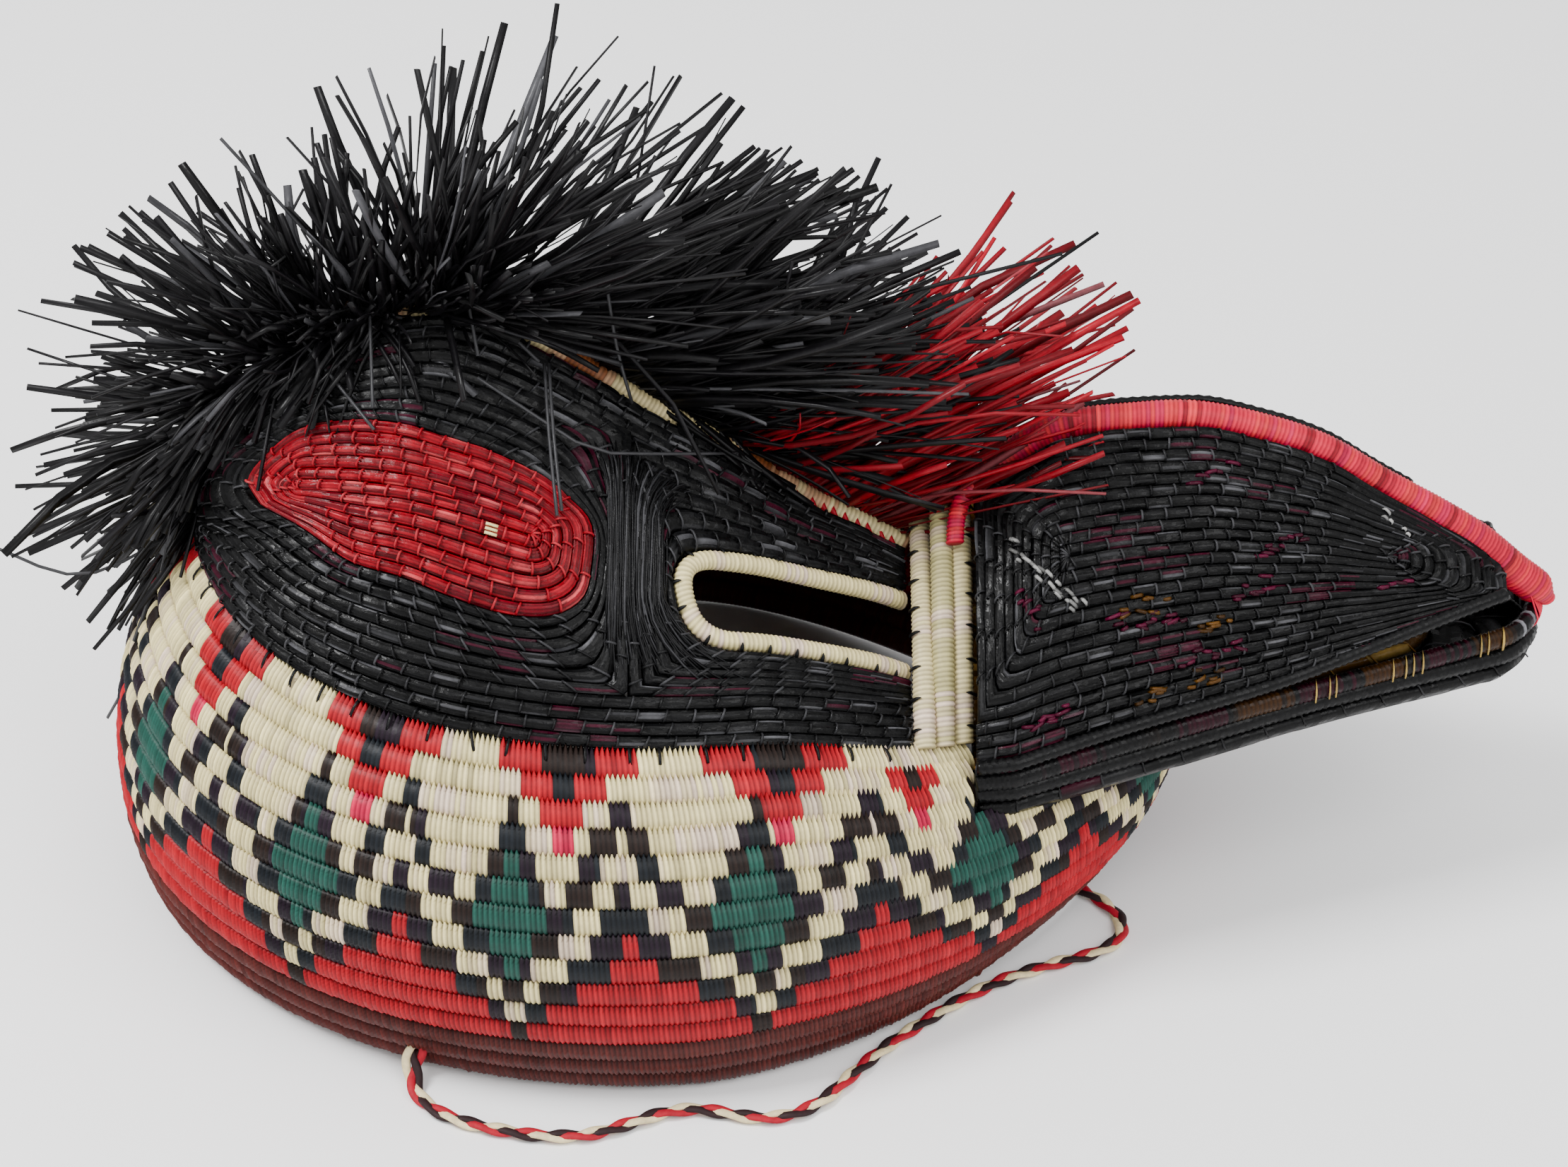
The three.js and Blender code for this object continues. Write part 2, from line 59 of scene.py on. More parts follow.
def add_camera():
    """The photo's view: level, from -Y, looking down by the elevation."""
    back = Vector((0, -np.cos(CAMERA_ELEVATION), np.sin(CAMERA_ELEVATION)))
    data = bpy.data.cameras.new("camera")
    data.sensor_width = SENSOR_WIDTH
    data.lens = SENSOR_WIDTH * FOCAL_PIXELS / PHOTO_WIDTH
    camera = bpy.data.objects.new("camera", data)
    camera.location = CAMERA_TARGET + back * CAMERA_DISTANCE
    camera.rotation_euler = back.to_track_quat("Z", "Y").to_euler()
    bpy.context.scene.collection.objects.link(camera)
    bpy.context.scene.camera = camera


def add_area_light(name, place, aim, size, power):
    """A square soft light of that size in metres, aimed at a point."""
    data = bpy.data.lights.new(name, "AREA")
    data.size = size
    data.energy = power
    light = bpy.data.objects.new(name, data)
    light.location = place
    light.rotation_euler = (Vector(place) - Vector(aim)).to_track_quat("Z", "Y").to_euler()
    bpy.context.scene.collection.objects.link(light)


def add_floor():
    """One square at the height the rim rests on, pale and slightly mottled."""
    mesh = bpy.data.meshes.new("floor")
    half = FLOOR_SIZE / 2
    corners = [(-half, -half, 0), (half, -half, 0), (half, half, 0), (-half, half, 0)]
    mesh.from_pydata(corners, [], [(0, 1, 2, 3)])
    floor = bpy.data.objects.new("floor", mesh)
    bpy.context.scene.collection.objects.link(floor)
    material = bpy.data.materials.new("table_white")
    material.use_nodes = True
    nodes, links = material.node_tree.nodes, material.node_tree.links
    shader = nodes["Principled BSDF"]
    shader.inputs["Roughness"].default_value = FLOOR_ROUGHNESS
    noise = nodes.new("ShaderNodeTexNoise")
    noise.inputs["Scale"].default_value = FLOOR_MOTTLE_SCALE
    ramp = nodes.new("ShaderNodeValToRGB")
    for stop, tone in zip(ramp.color_ramp.elements, FLOOR_TONES):
        stop.color = tone
    coordinates = nodes.new("ShaderNodeTexCoord")
    links.new(coordinates.outputs["Object"], noise.inputs["Vector"])
    links.new(noise.outputs["Fac"], ramp.inputs["Fac"])
    links.new(ramp.outputs["Color"], shader.inputs["Base Color"])
    mesh.materials.append(material)


def set_world(strength):
    """Even white light from all round."""
    world = bpy.data.worlds.new("studio")
    world.use_nodes = True
    background = world.node_tree.nodes["Background"]
    background.inputs["Color"].default_value = (1, 1, 1, 1)
    background.inputs["Strength"].default_value = strength
    bpy.context.scene.world = world


add_camera()
add_floor()
set_world(strength=1.3)
add_area_light("key_light", place=(-0.6, -0.15, 1.0), aim=(0, 0, 0.05), size=0.4, power=17)
add_area_light("fill_light", place=(0.5, -0.6, 0.9), aim=(0, 0, 0.08), size=0.8, power=8)

# Strap
# A thin limp braid of one cream, one black and one red bundle of fibre. Its strands start
# apart on the near wall, and it runs over the table, under the raised rim and back inside.
# Height of the braid's middle over the table
STRAP_LIE = 1.35
STRAP_START = (-61.9, -88.9, 8.6)
STRAP_DROP = (-62.3, -92.8, 3.2)
# The seen stretch as it lies in the photo, then under the mask to the far wall
STRAP_ROUTE = [
    (-61.2, -97.4),
    (-56, -103.6),
    (-48.5, -107.6),
    (-41, -109.8),
    (-32.5, -111.4),
    (-23.3, -111),
    (-15.8, -108.2),
    (-6.7, -104),
    (0.5, -102.8),
    (8.8, -104.6),
    (15, -105.6),
    (22.7, -103.8),
    (28.9, -98.8),
    (34.7, -91.2),
    (42.9, -81.5),
    (51.2, -73.4),
    (59.6, -66),
    (70.2, -58.6),
    (82.7, -52.8),
    (91, -49.4),
    (96.4, -44.6),
    (97.4, -38),
    (94.6, -32.2),
    (90, -27.4),
    (82, -20),
    (68, -8),
    (45, 12),
    (18, 34),
    (-10, 52),
    (-34, 66),
    (-47, 74),
]
STRAP_END = (-52, 79.5, 5.2)
# How much wider the strands stand at the start, and how soon that fades
START_SPREAD = 1.6
START_FADE = 7
# The CAD ridge's foremost x, which ties these millimetres to the frame
BEAK_TIP_X = 196.0
BUMP_DEPTH = 0.0004
GLOSS_SEED = 3


def in_frame(points):
    """Millimetres about the middle of the rim to metres in the CAD frame."""
    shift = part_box("beak_ridge")[1][0] - BEAK_TIP_X * MM
    return np.asarray(points, float) * MM + np.array([shift, 0, 0])


def smooth_path(points, per_span=24):
    """Centripetal Catmull-Rom curve: each span is the cubic whose end slopes come from the
    three-point differences of its neighbours, spaced by the square root of their distance."""
    p = np.asarray(points, float)
    q = np.vstack([2 * p[0] - p[1], p, 2 * p[-1] - p[-2]])
    gap = np.linalg.norm(np.diff(q, axis=0), axis=1) ** 0.5
    a, b, c = (gap[k : len(gap) - 2 + k, None] for k in range(3))
    p0, p1, p2, p3 = (q[k : len(q) - 3 + k] for k in range(4))
    out_slope = ((p1 - p0) / a - (p2 - p0) / (a + b) + (p2 - p1) / b) * b
    in_slope = ((p2 - p1) / b - (p3 - p1) / (b + c) + (p3 - p2) / c) * b
    t = np.linspace(0, 1, per_span, endpoint=False)[None, :, None]
    cubic = (
        p1[:, None]
        + out_slope[:, None] * t
        + (3 * (p2 - p1) - 2 * out_slope - in_slope)[:, None] * t**2
        + (2 * (p1 - p2) + out_slope + in_slope)[:, None] * t**3
    )
    return np.vstack([cubic.reshape(-1, p.shape[1]), p[-1:]])


def path_lengths(path):
    """Distance along a path at each of its points."""
    return np.r_[0, np.cumsum(np.linalg.norm(np.diff(path, axis=0), axis=1))]


def at_length(path, wanted, values=None):
    """Points of a path, or values given at its points, at the wanted distances along it."""
    values = path if values is None else values
    lengths = path_lengths(path)
    return np.stack([np.interp(wanted, lengths, column) for column in values.T], axis=-1)


def unit(vectors):
    """Vectors of length one along the last axis."""
    return vectors / np.maximum(np.linalg.norm(vectors, axis=-1, keepdims=True), 1e-9)


def tube_faces(columns, sides, first=0, closed=False):
    """Quads of a tube whose rings of points follow each other, and its two end fans as quads
    of ring points. A closed tube joins its last ring to its first and has no ends."""
    c = np.arange(columns if closed else columns - 1)[:, None]
    s = np.arange(sides)[None, :]
    after, beside = (c + 1) % columns, (s + 1) % sides
    corners = (c * sides + s, after * sides + s, after * sides + beside, c * sides + beside)
    quads = np.stack(np.broadcast_arrays(*corners), axis=-1).reshape(-1, 4)
    if not closed:
        k = np.arange(1, sides - 1)
        start = np.stack([0 * k, k, k + 1, k + 1], axis=-1)
        end = np.stack([0 * k, k + 1, k, k], axis=-1) + (columns - 1) * sides
        quads = np.vstack([quads, start, end])
    return quads + first


def srgb(red, green, blue):
    """A colour named by its 0 to 255 screen values, as linear light."""
    c = np.array([red, green, blue]) / 255
    return np.where(c <= 0.04045, c / 12.92, ((c + 0.055) / 1.055) ** 2.4)


def joined(parts):
    """Points, quads, colours and painted shades of several surfaces as one."""
    offsets = np.cumsum([0] + [len(part[0]) for part in parts[:-1]])
    quads = [part[1] + offset for part, offset in zip(parts, offsets)]
    return (
        np.vstack([part[0] for part in parts]),
        np.vstack(quads),
        np.vstack([part[2] for part in parts]),
        np.concatenate([part[3] for part in parts]),
    )


def mirrored_faces(quads):
    """The same faces turned round, for a mirrored copy."""
    is_triangle = (quads[:, 2] == quads[:, 3])[:, None]
    return np.where(is_triangle, quads[:, [0, 2, 1, 1]], quads[:, [0, 3, 2, 1]])


def build_piece(name, parts, material, node, mirrored=False):
    """One mesh from surfaces, each with its points in millimetres, its quads, a colour for
    each quad and a painted shade for each point, which darkens the colours there. A quad that
    repeats its last corner is a triangle. Mirrored puts the piece on the far side. The fourth
    value of the dye attribute is a random gloss for each quad."""
    points, quads, dyes, shade = joined(parts)
    if mirrored:
        points, quads = points * (1, -1, 1), mirrored_faces(quads)
    is_triangle = quads[:, 2] == quads[:, 3]
    order = np.argsort(is_triangle, kind="stable")
    quads, is_triangle = quads[order], is_triangle[order]
    sizes = np.where(is_triangle, 3, 4)
    is_corner = np.ones(quads.shape, bool)
    is_corner[is_triangle, 3] = False
    corners = quads[is_corner]
    mesh = bpy.data.meshes.new(name)
    mesh.vertices.add(len(points))
    mesh.vertices.foreach_set("co", in_frame(points).astype(np.float32).ravel())
    mesh.loops.add(len(corners))
    mesh.loops.foreach_set("vertex_index", corners.astype(np.int32))
    mesh.polygons.add(len(quads))
    mesh.polygons.foreach_set("loop_start", np.r_[0, np.cumsum(sizes)[:-1]].astype(np.int32))
    mesh.update(calc_edges=True)
    mesh.validate()
    mesh.polygons.foreach_set("use_smooth", np.ones(len(mesh.polygons), bool))
    # The colours are multiplied by the painted shade of each corner's point
    colours = np.repeat(dyes[order], sizes, axis=0) * shade[corners, None]
    layer = mesh.color_attributes.new("dye", "FLOAT_COLOR", "CORNER")
    gloss = np.repeat(np.random.default_rng(GLOSS_SEED).random(len(quads)), sizes)
    rgba = np.concatenate([colours, gloss[:, None]], axis=1)
    layer.data.foreach_set("color", rgba.astype(np.float32).ravel())
    mesh.materials.append(material)
    piece = bpy.data.objects.new(name, mesh)
    bpy.context.scene.collection.objects.link(piece)
    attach(piece, "root")
    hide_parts(node)
    return piece


def math_node(tree, operation, *inputs):
    """Result of a math node whose inputs are other nodes' results or plain numbers."""
    node = tree.nodes.new("ShaderNodeMath")
    node.operation = operation
    for socket, value in zip(node.inputs, inputs):
        if isinstance(value, bpy.types.NodeSocket):
            tree.links.new(value, socket)
        else:
            socket.default_value = value
    return node.outputs["Value"]


def fibre_group():
    """Node group: the dye times one plus twice the patches' strength times the two noises'
    sum less one, and the fine noise as height."""
    group = bpy.data.node_groups.new("fibre_finish", "ShaderNodeTree")
    face = group.interface
    face.new_socket("Dye", in_out="INPUT", socket_type="NodeSocketColor")
    for label, value in (("Patches", 0.2), ("Patch Scale", 60), ("Streak Scale", 900)):
        socket = face.new_socket(label, in_out="INPUT", socket_type="NodeSocketFloat")
        socket.default_value = value
    face.new_socket("Colour", in_out="OUTPUT", socket_type="NodeSocketColor")
    face.new_socket("Height", in_out="OUTPUT", socket_type="NodeSocketFloat")
    nodes, links = group.nodes, group.links
    inside, outside = nodes.new("NodeGroupInput"), nodes.new("NodeGroupOutput")
    coordinates = nodes.new("ShaderNodeTexCoord")
    patches, streaks = nodes.new("ShaderNodeTexNoise"), nodes.new("ShaderNodeTexNoise")
    patches.inputs["Detail"].default_value = 3
    streaks.inputs["Detail"].default_value = 2
    for noise, scale in ((patches, "Patch Scale"), (streaks, "Streak Scale")):
        links.new(coordinates.outputs["Object"], noise.inputs["Vector"])
        links.new(inside.outputs[scale], noise.inputs["Scale"])
    both = math_node(group, "ADD", patches.outputs["Fac"], streaks.outputs["Fac"])
    spread = math_node(group, "SUBTRACT", both, 1.0)
    amount = math_node(group, "MULTIPLY", spread, inside.outputs["Patches"])
    lift = math_node(group, "MULTIPLY_ADD", amount, 2.0, 1.0)
    shade = nodes.new("ShaderNodeVectorMath")
    shade.operation = "SCALE"
    links.new(inside.outputs["Dye"], shade.inputs[0])
    links.new(lift, shade.inputs["Scale"])
    links.new(shade.outputs["Vector"], outside.inputs["Colour"])
    links.new(streaks.outputs["Fac"], outside.inputs["Height"])
    return group


FIBRE_GROUP = fibre_group()


def fibre_material(name, roughness, specular, patches, patch_scale, bump=0.15, dull=0.1):
    """Dyed fibre: the mesh's dye colour, mottled, with a fine uneven surface, whose roughness
    grows by up to dull where the mesh's gloss says so."""
    material = bpy.data.materials.new(name)
    material.use_nodes = True
    nodes, links = material.node_tree.nodes, material.node_tree.links
    shader = nodes["Principled BSDF"]
    shader.inputs["Specular IOR Level"].default_value = specular
    dye = nodes.new("ShaderNodeAttribute")
    dye.attribute_name = "dye"
    rough = math_node(material.node_tree, "MULTIPLY_ADD", dye.outputs["Alpha"], dull, roughness)
    links.new(rough, shader.inputs["Roughness"])
    finish = nodes.new("ShaderNodeGroup")
    finish.node_tree = FIBRE_GROUP
    finish.inputs["Patches"].default_value = patches
    finish.inputs["Patch Scale"].default_value = patch_scale
    height = nodes.new("ShaderNodeBump")
    height.inputs["Strength"].default_value = bump
    height.inputs["Distance"].default_value = BUMP_DEPTH
    links.new(dye.outputs["Color"], finish.inputs["Dye"])
    links.new(finish.outputs["Colour"], shader.inputs["Base Color"])
    links.new(finish.outputs["Height"], height.inputs["Height"])
    links.new(height.outputs["Normal"], shader.inputs["Normal"])
    return material


def braid(path):
    """Three flat strands round a path. Each swings sideways by a sine of the distance along,
    a third of a turn apart, and up and down at twice that rate. Near the start they spread."""
    step, pitch, sides = 0.9, 21.0, 8
    swing, rise, half_width, half_height = 0.8, 0.42, 1.0, 0.6
    lengths = np.arange(0, path_lengths(path)[-1], step)
    middle = at_length(path, lengths)
    along = unit(np.gradient(middle, axis=0))
    beside = unit(np.cross(along, [0, 0, 1]))
    above = np.cross(beside, along)
    spread = 1 + START_SPREAD * np.exp(-((lengths / START_FADE) ** 2))
    angle = np.linspace(0, 2 * np.pi, sides, endpoint=False)
    points, quads, dyes = [], [], []
    for strand, dye in enumerate(STRAP_DYES):
        phase = 2 * np.pi * (lengths / pitch + strand / 3)
        centre = (
            middle
            + beside * (swing * spread * np.sin(phase))[:, None]
            + above * (rise * np.sin(2 * phase))[:, None]
        )
        ring = (
            centre[:, None]
            + beside[:, None] * (half_width * np.cos(angle))[None, :, None]
            + above[:, None] * (half_height * np.sin(angle))[None, :, None]
        )
        quads.append(tube_faces(len(lengths), sides, first=strand * ring.shape[0] * sides))
        points.append(ring.reshape(-1, 3))
        dyes.append(np.tile(dye, (len(quads[-1]), 1)))
    points = np.vstack(points)
    return points, np.vstack(quads), np.vstack(dyes), np.ones(len(points))


STRAP_DYES = (srgb(206, 190, 148), srgb(36, 20, 22), srgb(150, 14, 34))
BRAID_FIBRE = fibre_material(
    "braid_fibre", roughness=0.6, specular=0.2, patches=0.3, patch_scale=400
)
strap_points = [STRAP_START, STRAP_DROP, *((x, y, STRAP_LIE) for x, y in STRAP_ROUTE), STRAP_END]
strap_path = smooth_path(strap_points)
strap = build_piece("strap_braid", [braid(strap_path)], BRAID_FIBRE, "strap")

# Basket wall
# Fifteen rows of coil one above the other, each a bundle of fibre wrapped edge to edge with
# flat dyed stitches that reach over the row above. Diamonds between zigzags, brown rim.
ROW_HEIGHT = 5.8
WALL_ROWS = 15
RIM_TO_BACK = 132.8
RIM_TO_BEAK = 95
RIM_TO_SIDE = 94.2
LEAN_BACK = (-17, 43.7)
LEAN_BEAK = (-46.4, 45.3)
LEAN_SIDE = (-26.9, 63.7)
EGG_SHAPE = (0.156, 0.247)
EGG_REACH = 110
ROUNDNESS = (1.744, 2.065)
TOP_TILT = 0.076
CHEEK_DROP = 12.4
CHIN_ARCH = 6
BEAK_BACK = 61.7
UNDER_BEAK = ((BEAK_BACK, 51), (103, 54.6), (146, 57.2), (192, 56))
WALL_STITCH = 1.15
MOTIF_PITCH = 55.5
MOTIF_START = -148.5
MOTIFS = 13
MOTIF_ROW = 4.5
# Middles of the near diamonds as the photo has them, counted in motifs, at the seventh and
# the eleventh row from the top, and the middles of the red groups above them
DIAMONDS_UP = (0.0, 1.1, 1.99, 2.89, 3.91)
DIAMONDS_DOWN = (-0.06, 1.01, 1.98, 2.97, 4.04)
RED_GROUPS = (0.27, 1.31, 2.19, 3.0, 3.62)
LAST_RED_SIZE = 0.72
ROWS_A_PIECE = 5
# The lowest coil reaches a little further down and rests on the table, and the top one tucks
# under the head's first coil
FOOT_STRETCH = 1.08
TOP_TUCK = 0.9
TUCKED_ABOVE = 2.7
# Where the cheeks' drop starts and ends along the mask
CHEEK_SPAN = (10, 70)
# How far a coil's middle stands inside the wall's face, how unevenly its stitches stand out,
# how much they slant, and the room kept under the beak
COIL_DEPTH = 2.6
COIL_UNEVEN = 0.03
STITCH_SLANT = -0.1
BEAK_CLEARANCE = 1.2
# Steps of angle and row that directions on the wall are taken over
TURN_STEP = 0.004
ROW_STEP = 0.3
WALL_SAMPLES = 6001
# A coil's section at a stitch and between two: up the wall, and out of its face
RIB_SECTION = (
    (-3.2, 0.9),
    (-2.1, 2.05),
    (-0.7, 2.7),
    (0.9, 2.85),
    (2.1, 2.7),
    (3.1, 2.5),
    (3.85, 2.2),
    (2.4, -1.6),
    (0.0, -2.6),
    (-2.5, -1.5),
)
GROOVE_SECTION = (
    (-3.2, 0.5),
    (-2.1, 1.55),
    (-0.7, 2.2),
    (0.9, 2.25),
    (2.0, 1.9),
    (2.6, 1.3),
    (3.4, 0.4),
    (2.4, -1.4),
    (0.0, -2.4),
    (-2.5, -1.3),
)
# Painted shade of each section point at the groove and at the rib: light on the ribs, dark in the
# grooves between stitches and darkest at the joints between rows, where shade falls
GROOVE_PAINTED_SHADE = (0.2, 0.4, 0.45, 0.45, 0.4, 0.3, 0.2, 0.7, 0.7, 0.7)
RIB_PAINTED_SHADE = (0.4, 0.9, 1, 1.05, 1.05, 1, 0.95, 0.9, 0.9, 0.9)
WALL_DYES = {
    "cream": srgb(222, 207, 150),
    "red": srgb(166, 14, 30),
    "pink": srgb(196, 12, 66),
    "green": srgb(30, 74, 64),
    "black": srgb(30, 19, 15),
    "brown": srgb(82, 30, 26),
}
DARK_DYES = (srgb(30, 19, 15), srgb(26, 14, 26), srgb(18, 22, 27))
PINK_CREAM = srgb(214, 192, 170)
# Spans of each row from the top, as fractions from one diamond's middle to the next towards
# the beak. Later spans cover earlier ones, and the rest of the row is cream.
WALL_CHART = (
    (),
    (),
    (("black", 0.44, 0.53), ("black", -0.02, 0.02)),
    (("black", -0.06, 0.06), ("black", 0.36, 0.47), ("black", 0.50, 0.59)),
    (("black", -0.11, 0.11), ("green", -0.03, 0.03), ("black", 0.30, 0.40), ("black", 0.54, 0.63)),
    (
        ("black", -0.16, 0.16),
        ("green", -0.09, 0.09),
        ("black", 0.25, 0.35),
        ("black", 0.46, 0.52),
        ("black", 0.63, 0.74),
    ),
    (("black", -0.27, 0.27), ("green", -0.16, 0.16), ("black", 0.40, 0.60)),
    (("black", -0.20, 0.20), ("green", -0.10, 0.10), ("black", 0.34, 0.66), ("red", 0.47, 0.53)),
    (("black", -0.09, 0.09), ("green", -0.03, 0.03), ("black", 0.24, 0.76), ("red", 0.40, 0.60)),
    (("black", -0.04, 0.04), ("black", 0.11, 0.89), ("red", 0.25, 0.75)),
    (("black", 0.035, 0.965), ("red", 0.115, 0.885)),
    (("red", 0, 1), ("black", -0.04, 0.04)),
    (("brown", 0, 1),),
    (("brown", 0, 1),),
    (("brown", 0, 1),),
)
# Half widths of the dyes of the red groups in the top four rows
RED_CHART = (
    (("red", 0.30), ("black", 0.11)),
    (("red", 0.18), ("black", 0.05)),
    (("red", 0.09),),
    (("pink", 0.04),),
)
# How fast cream drifts to pink, and black among its three dyes: by the motif and by the row
PINK_DRIFT = (9.1, 2.7)
DARK_DRIFT = (3.1, 1.7)


def smoothstep(value, low, high):
    """Zero below low, one above high, and a smooth cubic between them."""
    t = np.clip((value - low) / (high - low), 0, 1)
    return t * t * (3 - 2 * t)


def lean_profile(row, lean):
    """How far a row stands in and up from the rim when its lean grows evenly with height."""
    row = np.maximum(row, 1e-6)
    first = np.radians(lean[0])
    last = np.radians(lean[0] + (lean[1] - lean[0]) * row / WALL_ROWS)
    scale = ROW_HEIGHT * row / (last - first)
    return scale * (np.cos(first) - np.cos(last)), scale * (np.sin(last) - np.sin(first))


def wall_point(row, angle):
    """Outer face of the wall: a superellipse ring, narrower at the beak, whose reach and height
    come from the lean profiles of the back, the beak side and the flanks."""
    side_in, side_up = lean_profile(row, LEAN_SIDE)
    back_in, back_up = lean_profile(row, LEAN_BACK)
    beak_in, beak_up = lean_profile(row, LEAN_BEAK)
    part = row / WALL_ROWS
    c, s = np.cos(angle), np.sin(angle)
    power = 2 / (ROUNDNESS[0] + (ROUNDNESS[1] - ROUNDNESS[0]) * part)
    reach = np.where(c < 0, RIM_TO_BACK - back_in, RIM_TO_BEAK - beak_in)
    x = reach * np.sign(c) * np.abs(c) ** power
    egg = EGG_SHAPE[0] + (EGG_SHAPE[1] - EGG_SHAPE[0]) * part
    y = (RIM_TO_SIDE - side_in) * np.sign(s) * np.abs(s) ** power * (1 - egg * x / EGG_REACH)
    rise = side_up + (np.where(c < 0, back_up, beak_up) - side_up) * c * c
    drop = CHEEK_DROP * smoothstep(x, *CHEEK_SPAN) * part * part
    arch = CHIN_ARCH * np.clip(c, 0, 1) ** 3 * (1 - part) ** 2
    return np.stack([x, y, rise - TOP_TILT * x * part - drop + arch], axis=-1)


def wall_directions(row, angle):
    """Direction round the wall and its outward normal, from nearby points of its face."""
    along = unit(wall_point(row, angle + TURN_STEP) - wall_point(row, angle - TURN_STEP))
    up = unit(wall_point(row + ROW_STEP, angle) - wall_point(row - ROW_STEP, angle))
    return along, unit(np.cross(along, up))


def ring_angles(row, fractions):
    """Angles at fractions of a row's length, from the back round the near side."""
    angle = np.linspace(-np.pi, np.pi, WALL_SAMPLES)
    lengths = path_lengths(wall_point(row, angle))
    return np.interp(fractions, lengths / lengths[-1], angle), lengths[-1]


def motif_phase(angle):
    """Count of motifs at an angle: fixed pitch on the near side, the rest shared on the far."""
    fine = np.linspace(-np.pi, np.pi, WALL_SAMPLES)
    lengths = path_lengths(wall_point(MOTIF_ROW, fine))
    near = (lengths - np.interp(-np.pi / 2, fine, lengths) - MOTIF_START) / MOTIF_PITCH
    half = len(fine) // 2
    far = near[half] + (lengths - lengths[half]) / (lengths[-1] - lengths[half]) * (
        near[0] + MOTIFS - near[half]
    )
    return np.interp(angle, fine, np.where(np.arange(len(fine)) < half, near, far))


def group_offset(phase, row_from_top):
    """Signed distance to the nearest red group. The last near group is a little smaller, and
    the top row leaves it out because the row ends there."""
    count = len(RED_GROUPS) - (row_from_top == 0)
    groups = np.array(RED_GROUPS[:count] + tuple(k + RED_GROUPS[0] for k in range(5, MOTIFS)))
    away = (phase[:, None] - groups + MOTIFS / 2) % MOTIFS - MOTIFS / 2
    nearest = np.abs(away).argmin(axis=1)
    size = np.where(nearest == len(RED_GROUPS) - 1, LAST_RED_SIZE, 1)
    return away[np.arange(len(phase)), nearest] / size


def row_dyes(row_from_top, phase, rng):
    """Colour of each stitch by its chart row. Cream drifts to pink and black to brown, purple
    or blue along the row, and every stitch is a little lighter or darker than the next."""
    before, after = (-40, -1), (5, 40)
    down = np.clip((row_from_top - 6) / 4, 0, 1)
    diamonds = np.array(DIAMONDS_UP) * (1 - down) + np.array(DIAMONDS_DOWN) * down
    place = np.interp(
        phase, (*before, *diamonds, *after), (*before, *range(len(diamonds)), *after)
    )
    dyes = np.tile(WALL_DYES["cream"], (len(phase), 1))
    wave = np.sin(phase * PINK_DRIFT[0] + row_from_top * PINK_DRIFT[1])
    drift = smoothstep(wave + rng.normal(0, 0.5, len(phase)), 0.2, 1.6)
    dyes += (PINK_CREAM - dyes) * drift[:, None]
    dark = np.floor((phase * DARK_DRIFT[0] + row_from_top * DARK_DRIFT[1]) % 3).astype(int)
    spans = []
    for dye, start, end in WALL_CHART[row_from_top]:
        spans.append((dye, (place - start) % 1 < end - start))
    if row_from_top < len(RED_CHART):
        offset = np.abs(group_offset(phase, row_from_top))
        spans += [(dye, offset < half) for dye, half in RED_CHART[row_from_top]]
    for dye, here in spans:
        dyes[here] = np.array(DARK_DYES)[dark[here]] if dye == "black" else WALL_DYES[dye]
    return dyes * rng.normal(1, 0.13, (len(phase), 1))


def wall_coil(row_from_top, rng):
    """One row: two rings of section points a stitch, at the groove and at the rib, carried
    round the row's ring and turned to the wall's slope, with painted shade in the grooves and
    the joints between rows. Stops where the beak sits."""
    row = WALL_ROWS - 0.5 - row_from_top
    _, length = ring_angles(row, 0)
    stitches = int(length / WALL_STITCH)
    place = np.arange(2 * stitches) / (2 * stitches)
    angle, _ = ring_angles(row, place)
    outer = wall_point(row, angle)
    along, out = wall_directions(row, angle)
    up = np.cross(out, along)
    is_rib = np.arange(2 * stitches) % 2 == 1
    section = np.where(is_rib[:, None, None], np.array(RIB_SECTION), np.array(GROOVE_SECTION))
    uneven = 1 + COIL_UNEVEN * np.repeat(rng.normal(0, 1, stitches), 2)
    reach = section[..., 1] * uneven[:, None] - COIL_DEPTH
    slant = along[:, None] * (section[..., 0] * STITCH_SLANT)[..., None]
    height = section[..., :1]
    if row_from_top == WALL_ROWS - 1:
        height = np.where(height < 0, height * FOOT_STRETCH, height)
    if row_from_top == 0:
        height = np.where(height > TUCKED_ABOVE, height + TOP_TUCK, height)
    points = outer[:, None] + up[:, None] * height + out[:, None] * reach[..., None]
    points += slant
    # Painted shade: the grooves and the joints between rows darker
    shade = np.where(is_rib[:, None], RIB_PAINTED_SHADE, GROOVE_PAINTED_SHADE)
    under = np.interp(outer[:, 0], *np.array(UNDER_BEAK).T)
    open_here = (outer[:, 0] < BEAK_BACK) | (outer[:, 2] + BEAK_CLEARANCE < under)
    phase = motif_phase(angle)
    dyes = row_dyes(row_from_top, phase[1::2], rng)
    sides = section.shape[1]
    if open_here.all():
        quads = tube_faces(2 * stitches, sides, closed=True)
        stitch = np.repeat(np.arange(2 * stitches), sides) // 2
        return points.reshape(-1, 3), quads, dyes[stitch], shade.ravel()
    first = int(np.argmin(open_here))
    kept = (first + np.arange(2 * stitches)) % (2 * stitches)
    kept = kept[open_here[kept]]
    quads = tube_faces(len(kept), sides)
    stitch = np.r_[np.repeat(kept[:-1], sides), np.repeat(kept[[0, -1]], sides - 2)] // 2
    return points[kept].reshape(-1, 3), quads, dyes[stitch], shade[kept].ravel()


WRAPPED_FIBRE = fibre_material(
    "wrapped_fibre", roughness=0.42, specular=0.18, patches=0.15, patch_scale=150
)
wall_rng = np.random.default_rng(11)
for first_row in range(0, WALL_ROWS, ROWS_A_PIECE):
    rows = [wall_coil(first_row + k, wall_rng) for k in range(ROWS_A_PIECE)]
    wall_name = f"wall_rows_{first_row + 1}_to_{first_row + ROWS_A_PIECE}"
    build_piece(wall_name, rows, WRAPPED_FIBRE, "side_wall")

